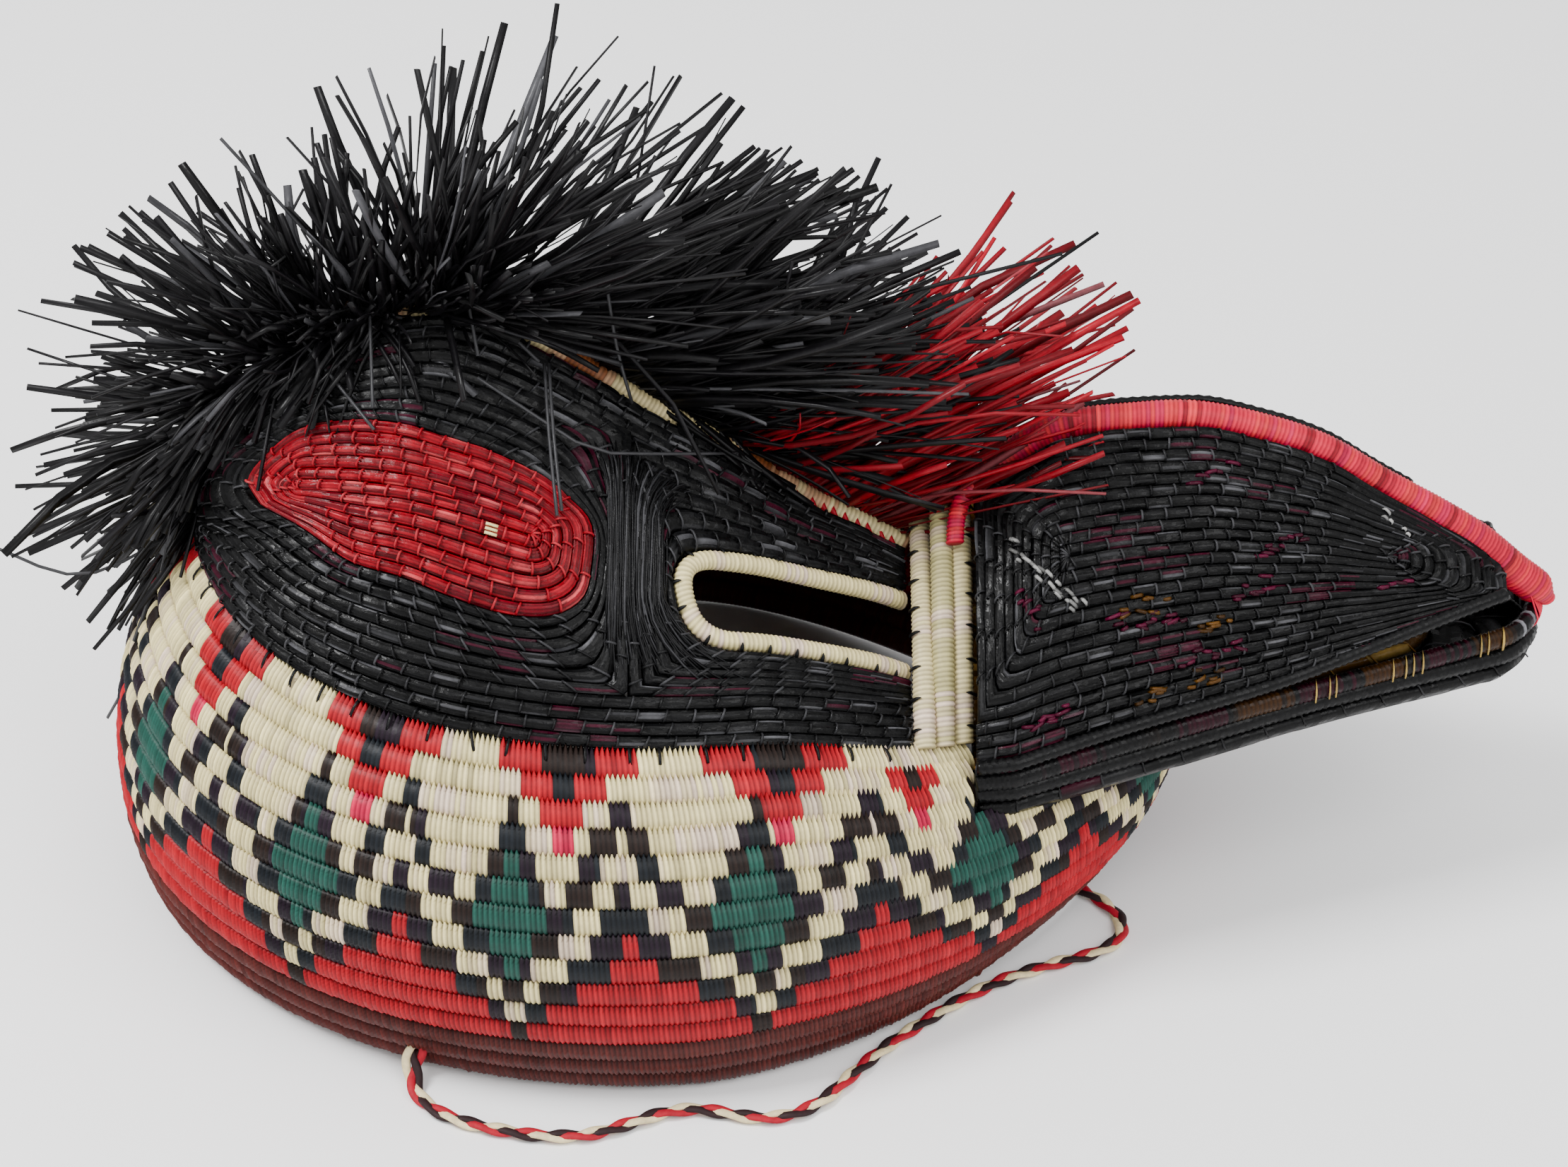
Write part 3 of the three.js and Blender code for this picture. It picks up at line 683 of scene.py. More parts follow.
# Head panels and eyes
# Each side of the head is one sheet of coils. A coil is a bundle of palm strands laid side by
# side and tied by spaced stitches. Rings of it grow round the red eye until they meet the
# rows along the wall and the loose vertical rows round the slot. All black but the eye.
GAP = 0.3
FOOT_GAP = 0.7
SEAM_RADIUS = 2.7
BAND_BACK = 48.4
SEAM_LINE = (
    (-111.4, 90.4),
    (-110.8, 97),
    (-106, 112.5),
    (-96.5, 125),
    (-83, 135),
    (-67, 141.5),
    (-54, 143),
    (-42.5, 139.5),
    (-24, 128),
    (-11, 118.5),
    (5, 108.5),
    (24.5, 94),
    (38, 86.2),
    (BAND_BACK - 1.6, 80.9),
)
HEAD_START = 0.012
HEAD_BULGE = 7
CROWN_LIFT = 1.2
SLOT_BACK = -4
SLOT_HALF_HEIGHT = 12.2
SLOT_LEAN = 2.2
SLOT_UP = (0.435, 0.56)
# Eye outline on the panel, as fractions along it from the back and up it from the wall
EYE_OUTLINE = (
    (0.184, 0.55),
    (0.21, 0.645),
    (0.265, 0.72),
    (0.325, 0.72),
    (0.382, 0.705),
    (0.435, 0.685),
    (0.49, 0.68),
    (0.545, 0.665),
    (0.585, 0.63),
    (0.61, 0.59),
    (0.618, 0.47),
    (0.61, 0.37),
    (0.578, 0.315),
    (0.532, 0.295),
    (0.48, 0.30),
    (0.41, 0.32),
    (0.352, 0.33),
    (0.288, 0.395),
    (0.213, 0.465),
)
EYE_MIDDLE = (0.27, 0.545)
EYE_ROWS = 6
RING_ROWS = 6
WALL_SIDE_ROWS = 4
SEAM_SIDE_ROWS = 3
SLOT_SIDE_ROWS = 5
HEAD_ROW = 2.8
SLOT_RING_X = -14
HEAD_STITCH = 6.2
STEPS_A_STITCH = 5
BUNDLE_DEPTH = 4.6
LACE_SPACING = 8.5
LOOSE_FIBRES = 190
# Painted glints and wear: the share of strands lightened towards a pale colour
SHEEN_AND_WEAR_STRANDS = 0.12
BLACK_DYE = srgb(9, 9, 10)
# Pale grey that black strands, stitches, fibres and strips are lightened towards as painted glints
# and wear
SHEEN_AND_WEAR_GREY = srgb(98, 98, 102)
MAROON_DYE = srgb(66, 6, 32)
EYE_DYE = srgb(128, 3, 22)
EYE_TINT = srgb(84, 2, 18)
# Pale pink that the eye's strands and stitches are lightened towards as painted glints
EYE_GLINT_PINK = srgb(222, 84, 88)

# A bare fleck on the near eye, where the red has worn off
BARE_SPOT = (0.5, 0.485)
BARE_FIBRE = srgb(206, 192, 136)
# One tied coil's section: across and out of the face, from edge to edge over four strands and
# back below, with each point's painted shade, darkest at the row edges and in the valleys
# between strands, its strand and whether it is a strand's top
ACROSS = np.array((-1, -0.8, -0.53, -0.28, 0, 0.28, 0.53, 0.8, 1, 0.6, -0.6))
ARCH = np.array((-1.9, -0.25, -0.5, 0.35, -0.05, 0.35, -0.5, -0.25, -1.9, 0, 0))
STRAND_PAINTED_SHADE = np.array((0.12, 1, 0.45, 1, 0.6, 1, 0.45, 1, 0.12, 0.1, 0.1))
STRAND = np.array((0, 0, 1, 1, 2, 2, 3, 3, 0, 0, 0))
PEAK = np.array((0, 1, 0, 1, 0, 1, 0, 1, 0, 0, 0))
STRANDS = 4
STRAND_WANDER = 0.035
STRAND_LIFT = 0.22
# How flat the narrowest and widest rows are, and the widths at which stitches bite
ROW_FLATNESS = (0.3, 1.2)
BITE_WIDTHS = (1.6, 2.2)
SLOT_SQUARENESS = 2.6
# Where along the mask the slot's lean fades
SLOT_LEAN_SPAN = (5, 40)
# Inset of the panel's rows at the slot: negative, so they start just outside its edge
SLOT_MARGIN = -0.2
# Steps that directions on a surface are taken over, and the span of fractions they keep to
STEP_ALONG = 0.005
STEP_UP = 0.01
FRAME_SPAN = (0.006, 0.994)
HALVINGS = 24
# Tying stitches: the narrowest row that shows one, how far past the row's edges it reaches,
# its slant and the slant's spread, its height at the middle and fall to the ends, half sizes
TIED_WIDTH = 1.9
TIE_REACH = 1.12
TIE_SLANT = (0.25, 0.12)
TIE_LIFT = 0.5
TIE_FALL = 1.6
TIE_SIZE = (0.28, 0.2)
# Loose fibres: where they start along the mask and how wide they spread, the fraction of the
# panel they start at and run down, and how far the foremost bend forward
LOOSE_X = -19
LOOSE_WIDTH = 12
LOOSE_TOP = 0.85
LOOSE_LENGTH = 0.62
LOOSE_BEND = 16
seam_path = smooth_path([(x, 0, z) for x, z in SEAM_LINE])
half_turn = np.linspace(-np.pi, 0, 4001)
band_angle = np.interp(BAND_BACK - GAP, wall_point(WALL_ROWS, half_turn)[:, 0], half_turn)
top_angles = np.linspace(-np.pi, band_angle, 2001)
top_lengths = path_lengths(wall_point(WALL_ROWS, top_angles))


def head_point(along, up):
    """Outer face of the near panel: straight from the wall's top row to the seam, at the same
    fraction of both lengths, pushed out by a low arch."""
    part = HEAD_START + (1 - HEAD_START) * np.asarray(along, float)
    angle = np.interp(part * top_lengths[-1], top_lengths, top_angles)
    foot = wall_point(WALL_ROWS, angle)
    crown = at_length(seam_path, part * path_lengths(seam_path)[-1])
    crown = crown + np.array([0, -SEAM_RADIUS - GAP, CROWN_LIFT])
    climb = crown - foot
    foot = foot + FOOT_GAP * unit(climb)
    out = unit(np.stack([0 * part, -climb[..., 2], climb[..., 1]], axis=-1))
    up = np.asarray(up, float)[..., None]
    swell = HEAD_BULGE * 4 * up * (1 - up) * np.sin(np.pi * np.clip(part, 0, 1))[..., None] ** 0.5
    return foot + (crown - foot) * up + out * swell


def surface_frame(surface, along, up):
    """Point and outward normal of a surface given by two fractions."""
    inside = np.clip(along, *FRAME_SPAN)
    sideways = surface(inside + STEP_ALONG, up) - surface(inside - STEP_ALONG, up)
    upwards = surface(inside, up + STEP_UP) - surface(inside, up - STEP_UP)
    return surface(along, up), unit(np.cross(sideways, upwards))


def along_at(x, up):
    """Fraction along the head panel whose x is the one given, by halving."""
    low, high = np.zeros(np.shape(x)), np.ones(np.shape(x))
    for _ in range(HALVINGS):
        middle = (low + high) / 2
        before = head_point(middle, up)[..., 0] < x
        low, high = np.where(before, middle, low), np.where(before, high, middle)
    return (low + high) / 2


def slot_outline(x, side, inset):
    """Fractions of a point on the slot's edge: a long notch with a squarish back end that
    leans, its upper corner furthest back."""
    radius = SLOT_HALF_HEIGHT - inset
    into = np.clip((x - SLOT_BACK - inset) / radius, 0, 1)
    half = radius * (1 - (1 - into) ** SLOT_SQUARENESS) ** (1 / SLOT_SQUARENESS)
    x = x - SLOT_LEAN * side * half / radius * (1 - smoothstep(x, *SLOT_LEAN_SPAN))
    middle = np.interp(x, (SLOT_BACK, BAND_BACK), SLOT_UP)
    inside = np.minimum(x, BAND_BACK - GAP)
    foot, crown = (head_point(along_at(inside, level), level) for level in (0 * x, 0 * x + 1))
    up = middle + side * half / np.linalg.norm(crown - foot, axis=-1)
    return along_at(inside, up), up


def spread_evenly(edges, surface, spacing, steps, closed):
    """Columns of a patch placed anew so that its middle row has whole stitches of even
    length. edges holds fractions for each row edge and column."""
    if closed:
        edges = np.concatenate([edges, edges[:, :1]], axis=1)
    middle = edges[len(edges) // 2]
    lengths = path_lengths(surface(middle[:, 0], middle[:, 1]))
    stitches = max(1, int(round(lengths[-1] / spacing)))
    count = stitches * steps
    wanted = np.linspace(0, lengths[-1], count + 1)[: count + (not closed)]
    place = np.interp(wanted, lengths, np.arange(len(lengths)))
    k = np.minimum(place.astype(int), edges.shape[1] - 2)
    t = (place - k)[None, :, None]
    return edges[:, k] * (1 - t) + edges[:, k + 1] * t


def patch_at(edges, row, column, closed):
    """Fractions at a place between a patch's row edges and columns."""
    rows, columns = edges.shape[:2]
    r = np.clip(np.floor(row).astype(int), 0, rows - 2)
    c = np.floor(column).astype(int)
    u, t = (row - r)[..., None], (column - c)[..., None]
    if closed:
        c0, c1 = c % columns, (c + 1) % columns
    else:
        c0, c1 = np.clip(c, 0, columns - 1), np.clip(c + 1, 0, columns - 1)
    low = edges[r, c0] * (1 - t) + edges[r, c1] * t
    high = edges[r + 1, c0] * (1 - t) + edges[r + 1, c1] * t
    return low * (1 - u) + high * u


def bundle_rows(edges, surface, dyes, closed, rng, turned):
    """Coils between the row edges of a patch, each a tube of four strands side by side. The
    strands rise between stitches, which stand one step further back in each row, and a narrow
    row is also flatter. Painted shade darkens the row edges, the valleys between strands and
    the stitches. dyes holds a colour for each row, stitch and strand."""
    rows, columns = len(edges) - 1, edges.shape[1]
    low, high = edges[:-1, :, None], edges[1:, :, None]
    steps = STEPS_A_STITCH
    step = np.arange(columns)[None, :] + np.arange(rows)[:, None]
    row = np.arange(rows)[:, None]
    cell = (step // steps) % dyes.shape[1]
    wander = rng.normal(0, STRAND_WANDER, (rows, dyes.shape[1], len(ACROSS)))[row, cell]
    across = ACROSS + wander * (np.abs(ACROSS) < 0.9)
    place = (low + high) / 2 + across[..., None] * (high - low) / 2
    point, normal = surface_frame(surface, place[..., 0], place[..., 1])
    width = np.linalg.norm(point[:, :, 8] - point[:, :, 0], axis=-1)[..., None]
    flat = np.clip(width / HEAD_ROW, *ROW_FLATNESS)
    bound = np.abs(np.cos(np.pi * (step % steps) / steps))[..., None] ** 3
    bound = bound * smoothstep(width, *BITE_WIDTHS)
    lift = rng.normal(0, STRAND_LIFT, (rows, dyes.shape[1], len(ACROSS)))[row, cell] * PEAK
    height = 0.3 + flat * (ARCH - 0.3 + lift) - 0.25 * bound * (np.abs(ACROSS) < 0.9)
    height = np.where(np.arange(len(ACROSS)) > 8, -BUNDLE_DEPTH, height)
    points = point + normal * height[..., None]
    # Painted shade, deeper where the stitches pinch the bundle
    shade = STRAND_PAINTED_SHADE * (1 - 0.25 * bound)
    quads, colours = [], []
    sides, spans = len(ACROSS), columns if closed else columns - 1
    for k in range(rows):
        quads.append(tube_faces(columns, sides, k * columns * sides, closed))
        side_dyes = dyes[k][cell[k]][:, STRAND]
        colours.append(side_dyes[:spans].reshape(-1, 3))
        if not closed:
            colours.append(np.tile(dyes[k, 0, 0], (2 * (sides - 2), 1)))
    if turned:
        points, shade = points[:, :, ::-1], shade[:, :, ::-1]
    shade = np.broadcast_to(shade, points.shape[:3])
    return points.reshape(-1, 3), np.vstack(quads), np.vstack(colours), shade.reshape(-1)


def threads(paths, normals, half_width, half_height, dyes, sides=5):
    """Many thin flat tubes at once. paths and normals are threads by points by xyz, and the
    half sizes are numbers or one for each thread and point."""
    count, steps = paths.shape[:2]
    along = unit(np.gradient(paths, axis=1))
    beside = unit(np.cross(along, normals))
    above = np.cross(beside, along)
    angle = np.linspace(0, 2 * np.pi, sides, endpoint=False)
    wide = np.broadcast_to(half_width, (count, steps))[..., None, None]
    high = np.broadcast_to(half_height, (count, steps))[..., None, None]
    ring = paths[:, :, None] + beside[:, :, None] * wide * np.cos(angle)[:, None]
    ring = ring + above[:, :, None] * high * np.sin(angle)[:, None]
    faces = tube_faces(steps, sides)
    first = np.arange(count)[:, None, None] * steps * sides
    dyes = np.broadcast_to(dyes, (count, 3))
    return (
        ring.reshape(-1, 3),
        (faces[None] + first).reshape(-1, 4),
        np.repeat(dyes, len(faces), axis=0),
        np.ones(count * steps * sides),
    )


def tying_stitches(edges, surface, dye, sheen_and_wear, closed, rng):
    """One stitch over each row at the start of each stitch length, slanting forward, where the
    row is wide enough to show it. Each is lightened a little towards the pale colour as a painted
    glint."""
    rows, columns = len(edges) - 1, edges.shape[1]
    row, column = np.meshgrid(
        np.arange(rows), np.arange(0, columns, STEPS_A_STITCH), indexing="ij"
    )
    column = (column - row) % (columns if closed else columns - 1)
    row, column = row.ravel().astype(float), column.ravel().astype(float)
    start, end = patch_at(edges, row, column, closed), patch_at(edges, row + 1, column, closed)
    width = np.linalg.norm(surface(*start.T) - surface(*end.T), axis=-1)
    row, column, width = (v[width > TIED_WIDTH] for v in (row, column, width))
    t = np.linspace(-TIE_REACH, TIE_REACH, 8)
    slant = rng.normal(*TIE_SLANT, (len(row), 1))
    place = patch_at(edges, row[:, None] + 0.5 + t / 2, column[:, None] + slant * t, closed)
    point, normal = surface_frame(surface, place[..., 0], place[..., 1])
    flat = np.clip(width / HEAD_ROW, *ROW_FLATNESS)[:, None]
    height = TIE_LIFT + flat * (-TIE_FALL * np.abs(t) ** 4)
    # Painted glints: each stitch lightened a little towards the pale colour
    dyes = dye + (sheen_and_wear - dye) * rng.uniform(0, 0.5, (len(row), 1)) ** 2
    paths = point + normal * height[..., None]
    return threads(paths, normal, *TIE_SIZE, dyes)


def row_tints(shape, dye, sheen_and_wear, rng, spread, tint, share):
    """A colour for each row, stitch and strand: the dye, lighter and darker, some strands
    lightened towards a pale colour as painted glints and wear, and soft clusters of strands that
    take the tint."""
    dyes = dye * rng.normal(1, spread, (*shape, 1)).clip(0.3, 1.9)
    # Painted glints and wear: some strands lightened towards the pale colour
    has_sheen_and_wear = rng.random((*shape, 1)) < SHEEN_AND_WEAR_STRANDS
    dyes = dyes + (sheen_and_wear - dyes) * has_sheen_and_wear * rng.uniform(0.1, 0.8, (*shape, 1)) ** 1.5
    row, stitch = np.meshgrid(np.arange(shape[0]), np.arange(shape[1]), indexing="ij")
    turn = rng.uniform(0, 6, 3)
    cluster = np.sin(row * 0.9 + turn[0]) * np.sin(stitch * 0.45 + turn[1])
    cluster = cluster + 0.5 * np.sin(row * 0.4 - stitch * 0.8 + turn[2])
    chance = np.clip(6 * share * (cluster - 0.3), 0, 0.6)[..., None, None]
    return np.where(rng.random((*shape, 1)) < chance, dyes * 0.3 + tint * 0.7, dyes)


def turned_in(edges):
    """True if row edges follow each other on the wrong side of the columns for an outward
    face, seen with the first fraction to the right and the second up."""
    forward = np.diff(edges[:, :-1], axis=0)
    sideways = np.diff(edges[:-1], axis=1)
    cross = sideways[..., 0] * forward[..., 1] - sideways[..., 1] * forward[..., 0]
    return cross.sum() < 0


def bundle_patch(
    edges,
    surface,
    dye,
    closed,
    rng,
    spread=0.45,
    tint=MAROON_DYE,
    share=0.08,
    stitch=HEAD_STITCH,
    sheen_and_wear=SHEEN_AND_WEAR_GREY,
):
    """Coils and stitches of one patch."""
    turned = turned_in(edges)
    edges = spread_evenly(edges, surface, stitch, STEPS_A_STITCH, closed)
    stitches = max(1, edges.shape[1] // STEPS_A_STITCH)
    shape = (len(edges) - 1, stitches, STRANDS)
    dyes = row_tints(shape, dye, sheen_and_wear, rng, spread, tint, share)
    coils = bundle_rows(edges, surface, dyes, closed, rng, turned)
    return joined([coils, tying_stitches(edges, surface, dye, sheen_and_wear, closed, rng)])


def ruled_edges(inner, outer, rows):
    """Row edges from one curve of fractions to another, evenly spaced."""
    v = np.linspace(0, 1, rows + 1)[:, None, None]
    return inner[None] * (1 - v) + outer[None] * v


def rounded(edges, reach):
    """Closed row edges with their corners softened by a Gaussian along the row, most on the
    inner rows and not at all on the first and last edge."""
    rows, columns = edges.shape[:2]
    part = np.arange(rows) / (rows - 1)
    amount = 1.7 * reach * columns * np.sin(np.pi * part) * (1 - part)
    soften = np.exp(-2 * (np.pi * amount[:, None] * np.fft.rfftfreq(columns)) ** 2)
    return np.fft.irfft(np.fft.rfft(edges, axis=1) * soften[..., None], columns, axis=1)


def straight(start, end, count):
    """Evenly spaced fractions from a start up to an end that is left out."""
    t = np.arange(count)[:, None] / count
    return np.array(start) * (1 - t) + np.array(end) * t


def radius_at(curve, middle, scale, angle):
    """Distance of a closed curve from a middle point in each direction."""
    away = (curve - middle) / scale
    order = np.argsort(np.arctan2(away[:, 1], away[:, 0]))
    turn = np.arctan2(away[order, 1], away[order, 0])
    return np.interp(angle, turn, np.linalg.norm(away[order], axis=1), period=2 * np.pi)


def eye_line():
    """The eye's outline on the panel as a smooth closed curve."""
    corners = np.array(EYE_OUTLINE)
    return smooth_path(np.vstack([corners[-2:], corners, corners[:2]]), 12)[24:-25]


def slot_line():
    """The slot's outline: from the band back along its lower side and forward above."""
    end, bend = BAND_BACK - GAP, SLOT_BACK + 3.7
    flat_x, place = np.linspace(end, bend, 80), np.linspace(0, 1, 40)
    round_x = SLOT_BACK + 0.02 + (bend - SLOT_BACK - 0.02) * np.abs(2 * place - 1) ** 2
    sides = np.where(np.arange(40) < 20, -1.0, 1.0)
    parts = (
        slot_outline(flat_x, -1, SLOT_MARGIN),
        slot_outline(round_x, sides, SLOT_MARGIN),
        slot_outline(flat_x[::-1], 1, SLOT_MARGIN),
    )
    return np.vstack([np.stack(part, axis=-1) for part in parts])


def head_patches():
    """Row edges of the panel's five patches: inside the eye, round it, along the wall, along
    the seam and round the slot. Each comes with its colour and whether its rows are rings."""
    eye = eye_line()
    along = np.linspace(0, 1, 401)
    reach = np.linalg.norm(head_point(along, 0 * along) - head_point(along, 0 * along + 1), axis=1)
    wall_rows_up = np.minimum(WALL_SIDE_ROWS * HEAD_ROW / reach, 0.3)
    seam_rows = SEAM_SIDE_ROWS * HEAD_ROW * (1 - 0.45 * smoothstep(along, 0.75, 1))
    seam_rows_up = 1 - np.minimum(seam_rows / reach, 0.22)
    lower, upper = along_at(np.array([SLOT_RING_X] * 2), np.array([0.12, 0.9]))

    strip_top = np.stack([along, wall_rows_up], axis=-1)
    strip = ruled_edges(np.stack([along, 0 * along], axis=-1), strip_top, WALL_SIDE_ROWS)
    seam_edge = np.stack([along, seam_rows_up], axis=-1)
    seam_strip = ruled_edges(seam_edge, np.stack([along, 0 * along + 1], axis=-1), SEAM_SIDE_ROWS)

    middle = np.stack([np.clip(eye[:, 0], *EYE_MIDDLE), 0 * eye[:, 0] + 0.51], axis=-1)
    middle[:, 1] += 0.03 * (0.4 - middle[:, 0])
    inside = ruled_edges(middle, eye, EYE_ROWS)

    corner = (lower, np.interp(lower, along, wall_rows_up))
    high_corner = (upper, np.interp(upper, along, seam_rows_up))
    outer = np.vstack(
        [
            straight(strip_top[0], seam_edge[0], 60),
            seam_edge[along < upper],
            straight(high_corner, corner, 120),
            strip_top[along < lower][::-1],
        ]
    )
    centre, scale = np.array([0.40, 0.5]), np.array([0.22, 0.25])
    angle = np.linspace(0, 2 * np.pi, 361)[:-1]
    direction = np.stack([np.cos(angle), np.sin(angle)], axis=-1) * scale
    rings = ruled_edges(
        centre + direction * radius_at(eye, centre, scale, angle)[:, None],
        centre + direction * radius_at(outer, centre, scale, angle)[:, None],
        RING_ROWS,
    )

    strip_right, high_right = np.linspace(1, lower, 80), np.linspace(upper, 1, 80)
    around = np.vstack(
        [
            np.stack([strip_right, np.interp(strip_right, along, wall_rows_up)], axis=-1),
            straight(corner, high_corner, 40),
            np.stack([high_right, np.interp(high_right, along, seam_rows_up)], axis=-1),
        ]
    )
    slot_rows = ruled_edges(slot_line(), around, SLOT_SIDE_ROWS)
    return (
        ("eye", inside, EYE_DYE, True),
        ("rings", rounded(rings, 0.02), BLACK_DYE, True),
        ("strip", strip, BLACK_DYE, False),
        ("seam_strip", seam_strip, BLACK_DYE, False),
        ("slot", slot_rows, BLACK_DYE, False),
    )


def top_lacing(rng):
    """Black stitches from the panel's lowest row over the wall's top row."""
    place = np.arange(4.0, top_lengths[-1], LACE_SPACING)
    angle = np.interp(place + rng.normal(0, 0.5, len(place)), top_lengths, top_angles)
    row = WALL_ROWS + np.array((0.3, 0.05, -0.15, -0.35, -0.5))
    angle = angle[:, None] + np.linspace(0, 0.004, 5) * rng.normal(1, 1, (len(angle), 1))
    point = wall_point(row[None, :], angle)
    out = wall_directions(row, angle)[1]
    points = point + out * np.array((-0.6, 0.35, 0.45, 0.35, -0.1))[:, None]
    return threads(points, out, 0.38, 0.2, BLACK_DYE)


def loose_fibres(rng):
    """Loose upright fibres over the rows between the eye and the slot. The ones nearest the
    slot bend forward round its corners at both ends. A few are lightened towards pale grey as
    painted glints."""
    start = rng.uniform(0, 1, (LOOSE_FIBRES, 1))
    t = np.linspace(0, 1, 11)[None] * rng.uniform(0.75, 1, (LOOSE_FIBRES, 1))
    t = t + rng.uniform(0, 0.15, (LOOSE_FIBRES, 1))
    up = LOOSE_TOP - LOOSE_LENGTH * t + rng.normal(0, 0.012, (LOOSE_FIBRES, 1))
    low_bend = LOOSE_BEND * start**2 * np.clip(t - 0.68, 0, None) ** 2 / 0.1
    high_bend = (LOOSE_BEND * start - 4) * np.clip(0.32 - t, 0, None) ** 2 / 0.1
    x = LOOSE_X + LOOSE_WIDTH * start + low_bend
    x = x + high_bend
    x = x + rng.normal(0, 0.7, (LOOSE_FIBRES, 1)) * np.sin(3 * t + rng.uniform(0, 6, start.shape))
    point, normal = surface_frame(head_point, along_at(x, up), up)
    height = rng.uniform(0.1, 0.9, start.shape) - 1.6 * np.abs(np.linspace(-1, 1, 11)) ** 6
    # Painted glints: a few fibres lightened towards pale grey
    sheen_and_wear = rng.uniform(0, 0.8, start.shape) ** 5
    dyes = BLACK_DYE + (SHEEN_AND_WEAR_GREY - BLACK_DYE) * sheen_and_wear
    return threads(point + normal * height[..., None], normal, 0.24, 0.16, dyes, sides=4)


def bare_spot():
    """Three short pale strands side by side on the near eye, where the red has rubbed away."""
    along = BARE_SPOT[0] + np.linspace(-0.007, 0.007, 5) + np.zeros((3, 1))
    up = BARE_SPOT[1] + np.array([[-0.011], [0], [0.011]]) + 0 * along
    point, normal = surface_frame(head_point, along, up)
    return threads(point + 0.75 * normal, normal, 0.36, 0.25, BARE_FIBRE, sides=4)


BUNDLE_FIBRE = fibre_material(
    "bundle_fibre", roughness=0.2, specular=0.14, patches=0.35, patch_scale=260, bump=0.4, dull=0.4
)
for side_name, mirror in (("near", 1), ("far", -1)):
    rng = np.random.default_rng(21 + mirror)
    parts = []
    for patch_name, edges, dye, closed in head_patches():
        look = (0.35, EYE_TINT, 0.3, 5.2, EYE_GLINT_PINK) if patch_name == "eye" else ()
        parts.append(bundle_patch(edges, head_point, dye, closed, rng, *look))
    parts += [loose_fibres(rng), top_lacing(rng)]
    if mirror > 0:
        parts.append(bare_spot())
    names = f"head_coils_{side_name}", f"head_panel_{side_name}"
    build_piece(names[0], parts, BUNDLE_FIBRE, names[1], mirrored=mirror < 0)

# Slot rims
# One pale wrapped coil bent round each eye slot, its ends against the band. Black lacing
# stitches from the panel bite into its outer edge.
SLOT_COIL = 2.1
RIM_STEPS = 12
WRAP_PITCH = 1.1
# How much a wrapped coil swells at a stitch and shrinks between two
WRAP_RELIEF = (0.12, -0.14)
# Ticks over a coil's edge: unevenness of place, where they start in reaches from the middle
# line, the arc they follow and its height, how they taper, and their half height
TICK_UNEVEN = 0.5
TICK_START = 1.25
TICK_ARC = 1.35
TICK_HEIGHT = 0.95
TICK_TAPER = (1, 1.1, 1, 0.7, 0.2)
TICK_HALF_HEIGHT = 0.22


def wrapped_tube(path, reference, wide, high, dyes, pitch=WRAP_PITCH, sides=12, slant=0.3):
    """A coil wrapped edge to edge: a tube whose rings swell at each stitch and shrink between
    stitches, lying a little aslant, with painted shade at half brightness in the grooves between
    stitches. reference points out of the basket, the half sizes are numbers or pairs of start
    and end, and dyes takes a count and gives that many colours."""
    length = path_lengths(path)[-1]
    stitches = max(2, int(length / pitch))
    wanted = np.linspace(0, length, 2 * stitches + 1)
    middle = at_length(path, wanted)
    along = unit(np.gradient(middle, axis=0))
    reference = np.broadcast_to(reference, path.shape)
    beside = unit(np.cross(along, at_length(path, wanted, reference)))
    above = np.cross(beside, along)
    is_rib = np.arange(len(wanted)) % 2 == 1
    swell = np.where(is_rib, *WRAP_RELIEF)
    place = np.linspace(0, 1, len(wanted))
    wide = np.interp(place, np.linspace(0, 1, np.size(wide)), np.ravel(wide)) + swell
    high = np.interp(place, np.linspace(0, 1, np.size(high)), np.ravel(high)) + swell
    angle = np.linspace(0, 2 * np.pi, sides, endpoint=False)
    ring = middle[:, None] + (beside * wide[:, None])[:, None] * np.cos(angle)[:, None]
    ring = ring + (above * high[:, None])[:, None] * np.sin(angle)[:, None]
    ring = ring + along[:, None] * (slant * np.cos(angle))[:, None]
    stitch = np.minimum(np.arange(len(wanted)) // 2, stitches - 1)
    colours = np.asarray(dyes(stitches))[stitch]
    colours = np.vstack(
        [np.repeat(colours[:-1], sides, axis=0), np.repeat(colours[[0, -1]], sides - 2, axis=0)]
    )
    # Painted shade: the grooves between stitches at half brightness
    shade = np.repeat(np.where(is_rib, 1.0, 0.5), sides)
    return ring.reshape(-1, 3), tube_faces(len(wanted), sides), colours, shade


def cream_stitches(rng, base=WALL_DYES["cream"]):
    """Cream wrapping that drifts towards pink over a few stitches."""

    def dyes(count):
        drift = smoothstep(np.sin(np.arange(count) * 0.31) + rng.normal(0, 0.7, count), 0.2, 1.5)
        mixed = base + (PINK_CREAM - base) * drift[:, None]
        return mixed * rng.normal(1, 0.06, (count, 1))

    return dyes


def slot_path():
    """Middle line of the rim coil with the panel's outward direction at each point."""
    k = np.arange(-RIM_STEPS, RIM_STEPS + 1)
    inset = SLOT_COIL + GAP
    x = SLOT_BACK + inset + (BAND_BACK - GAP - SLOT_BACK - inset) * np.abs(k / RIM_STEPS) ** 1.8
    point, normal = surface_frame(head_point, *slot_outline(x, np.sign(k), inset))
    line = smooth_path(point - normal * (SLOT_COIL - 0.7))
    return line, normal[RIM_STEPS]


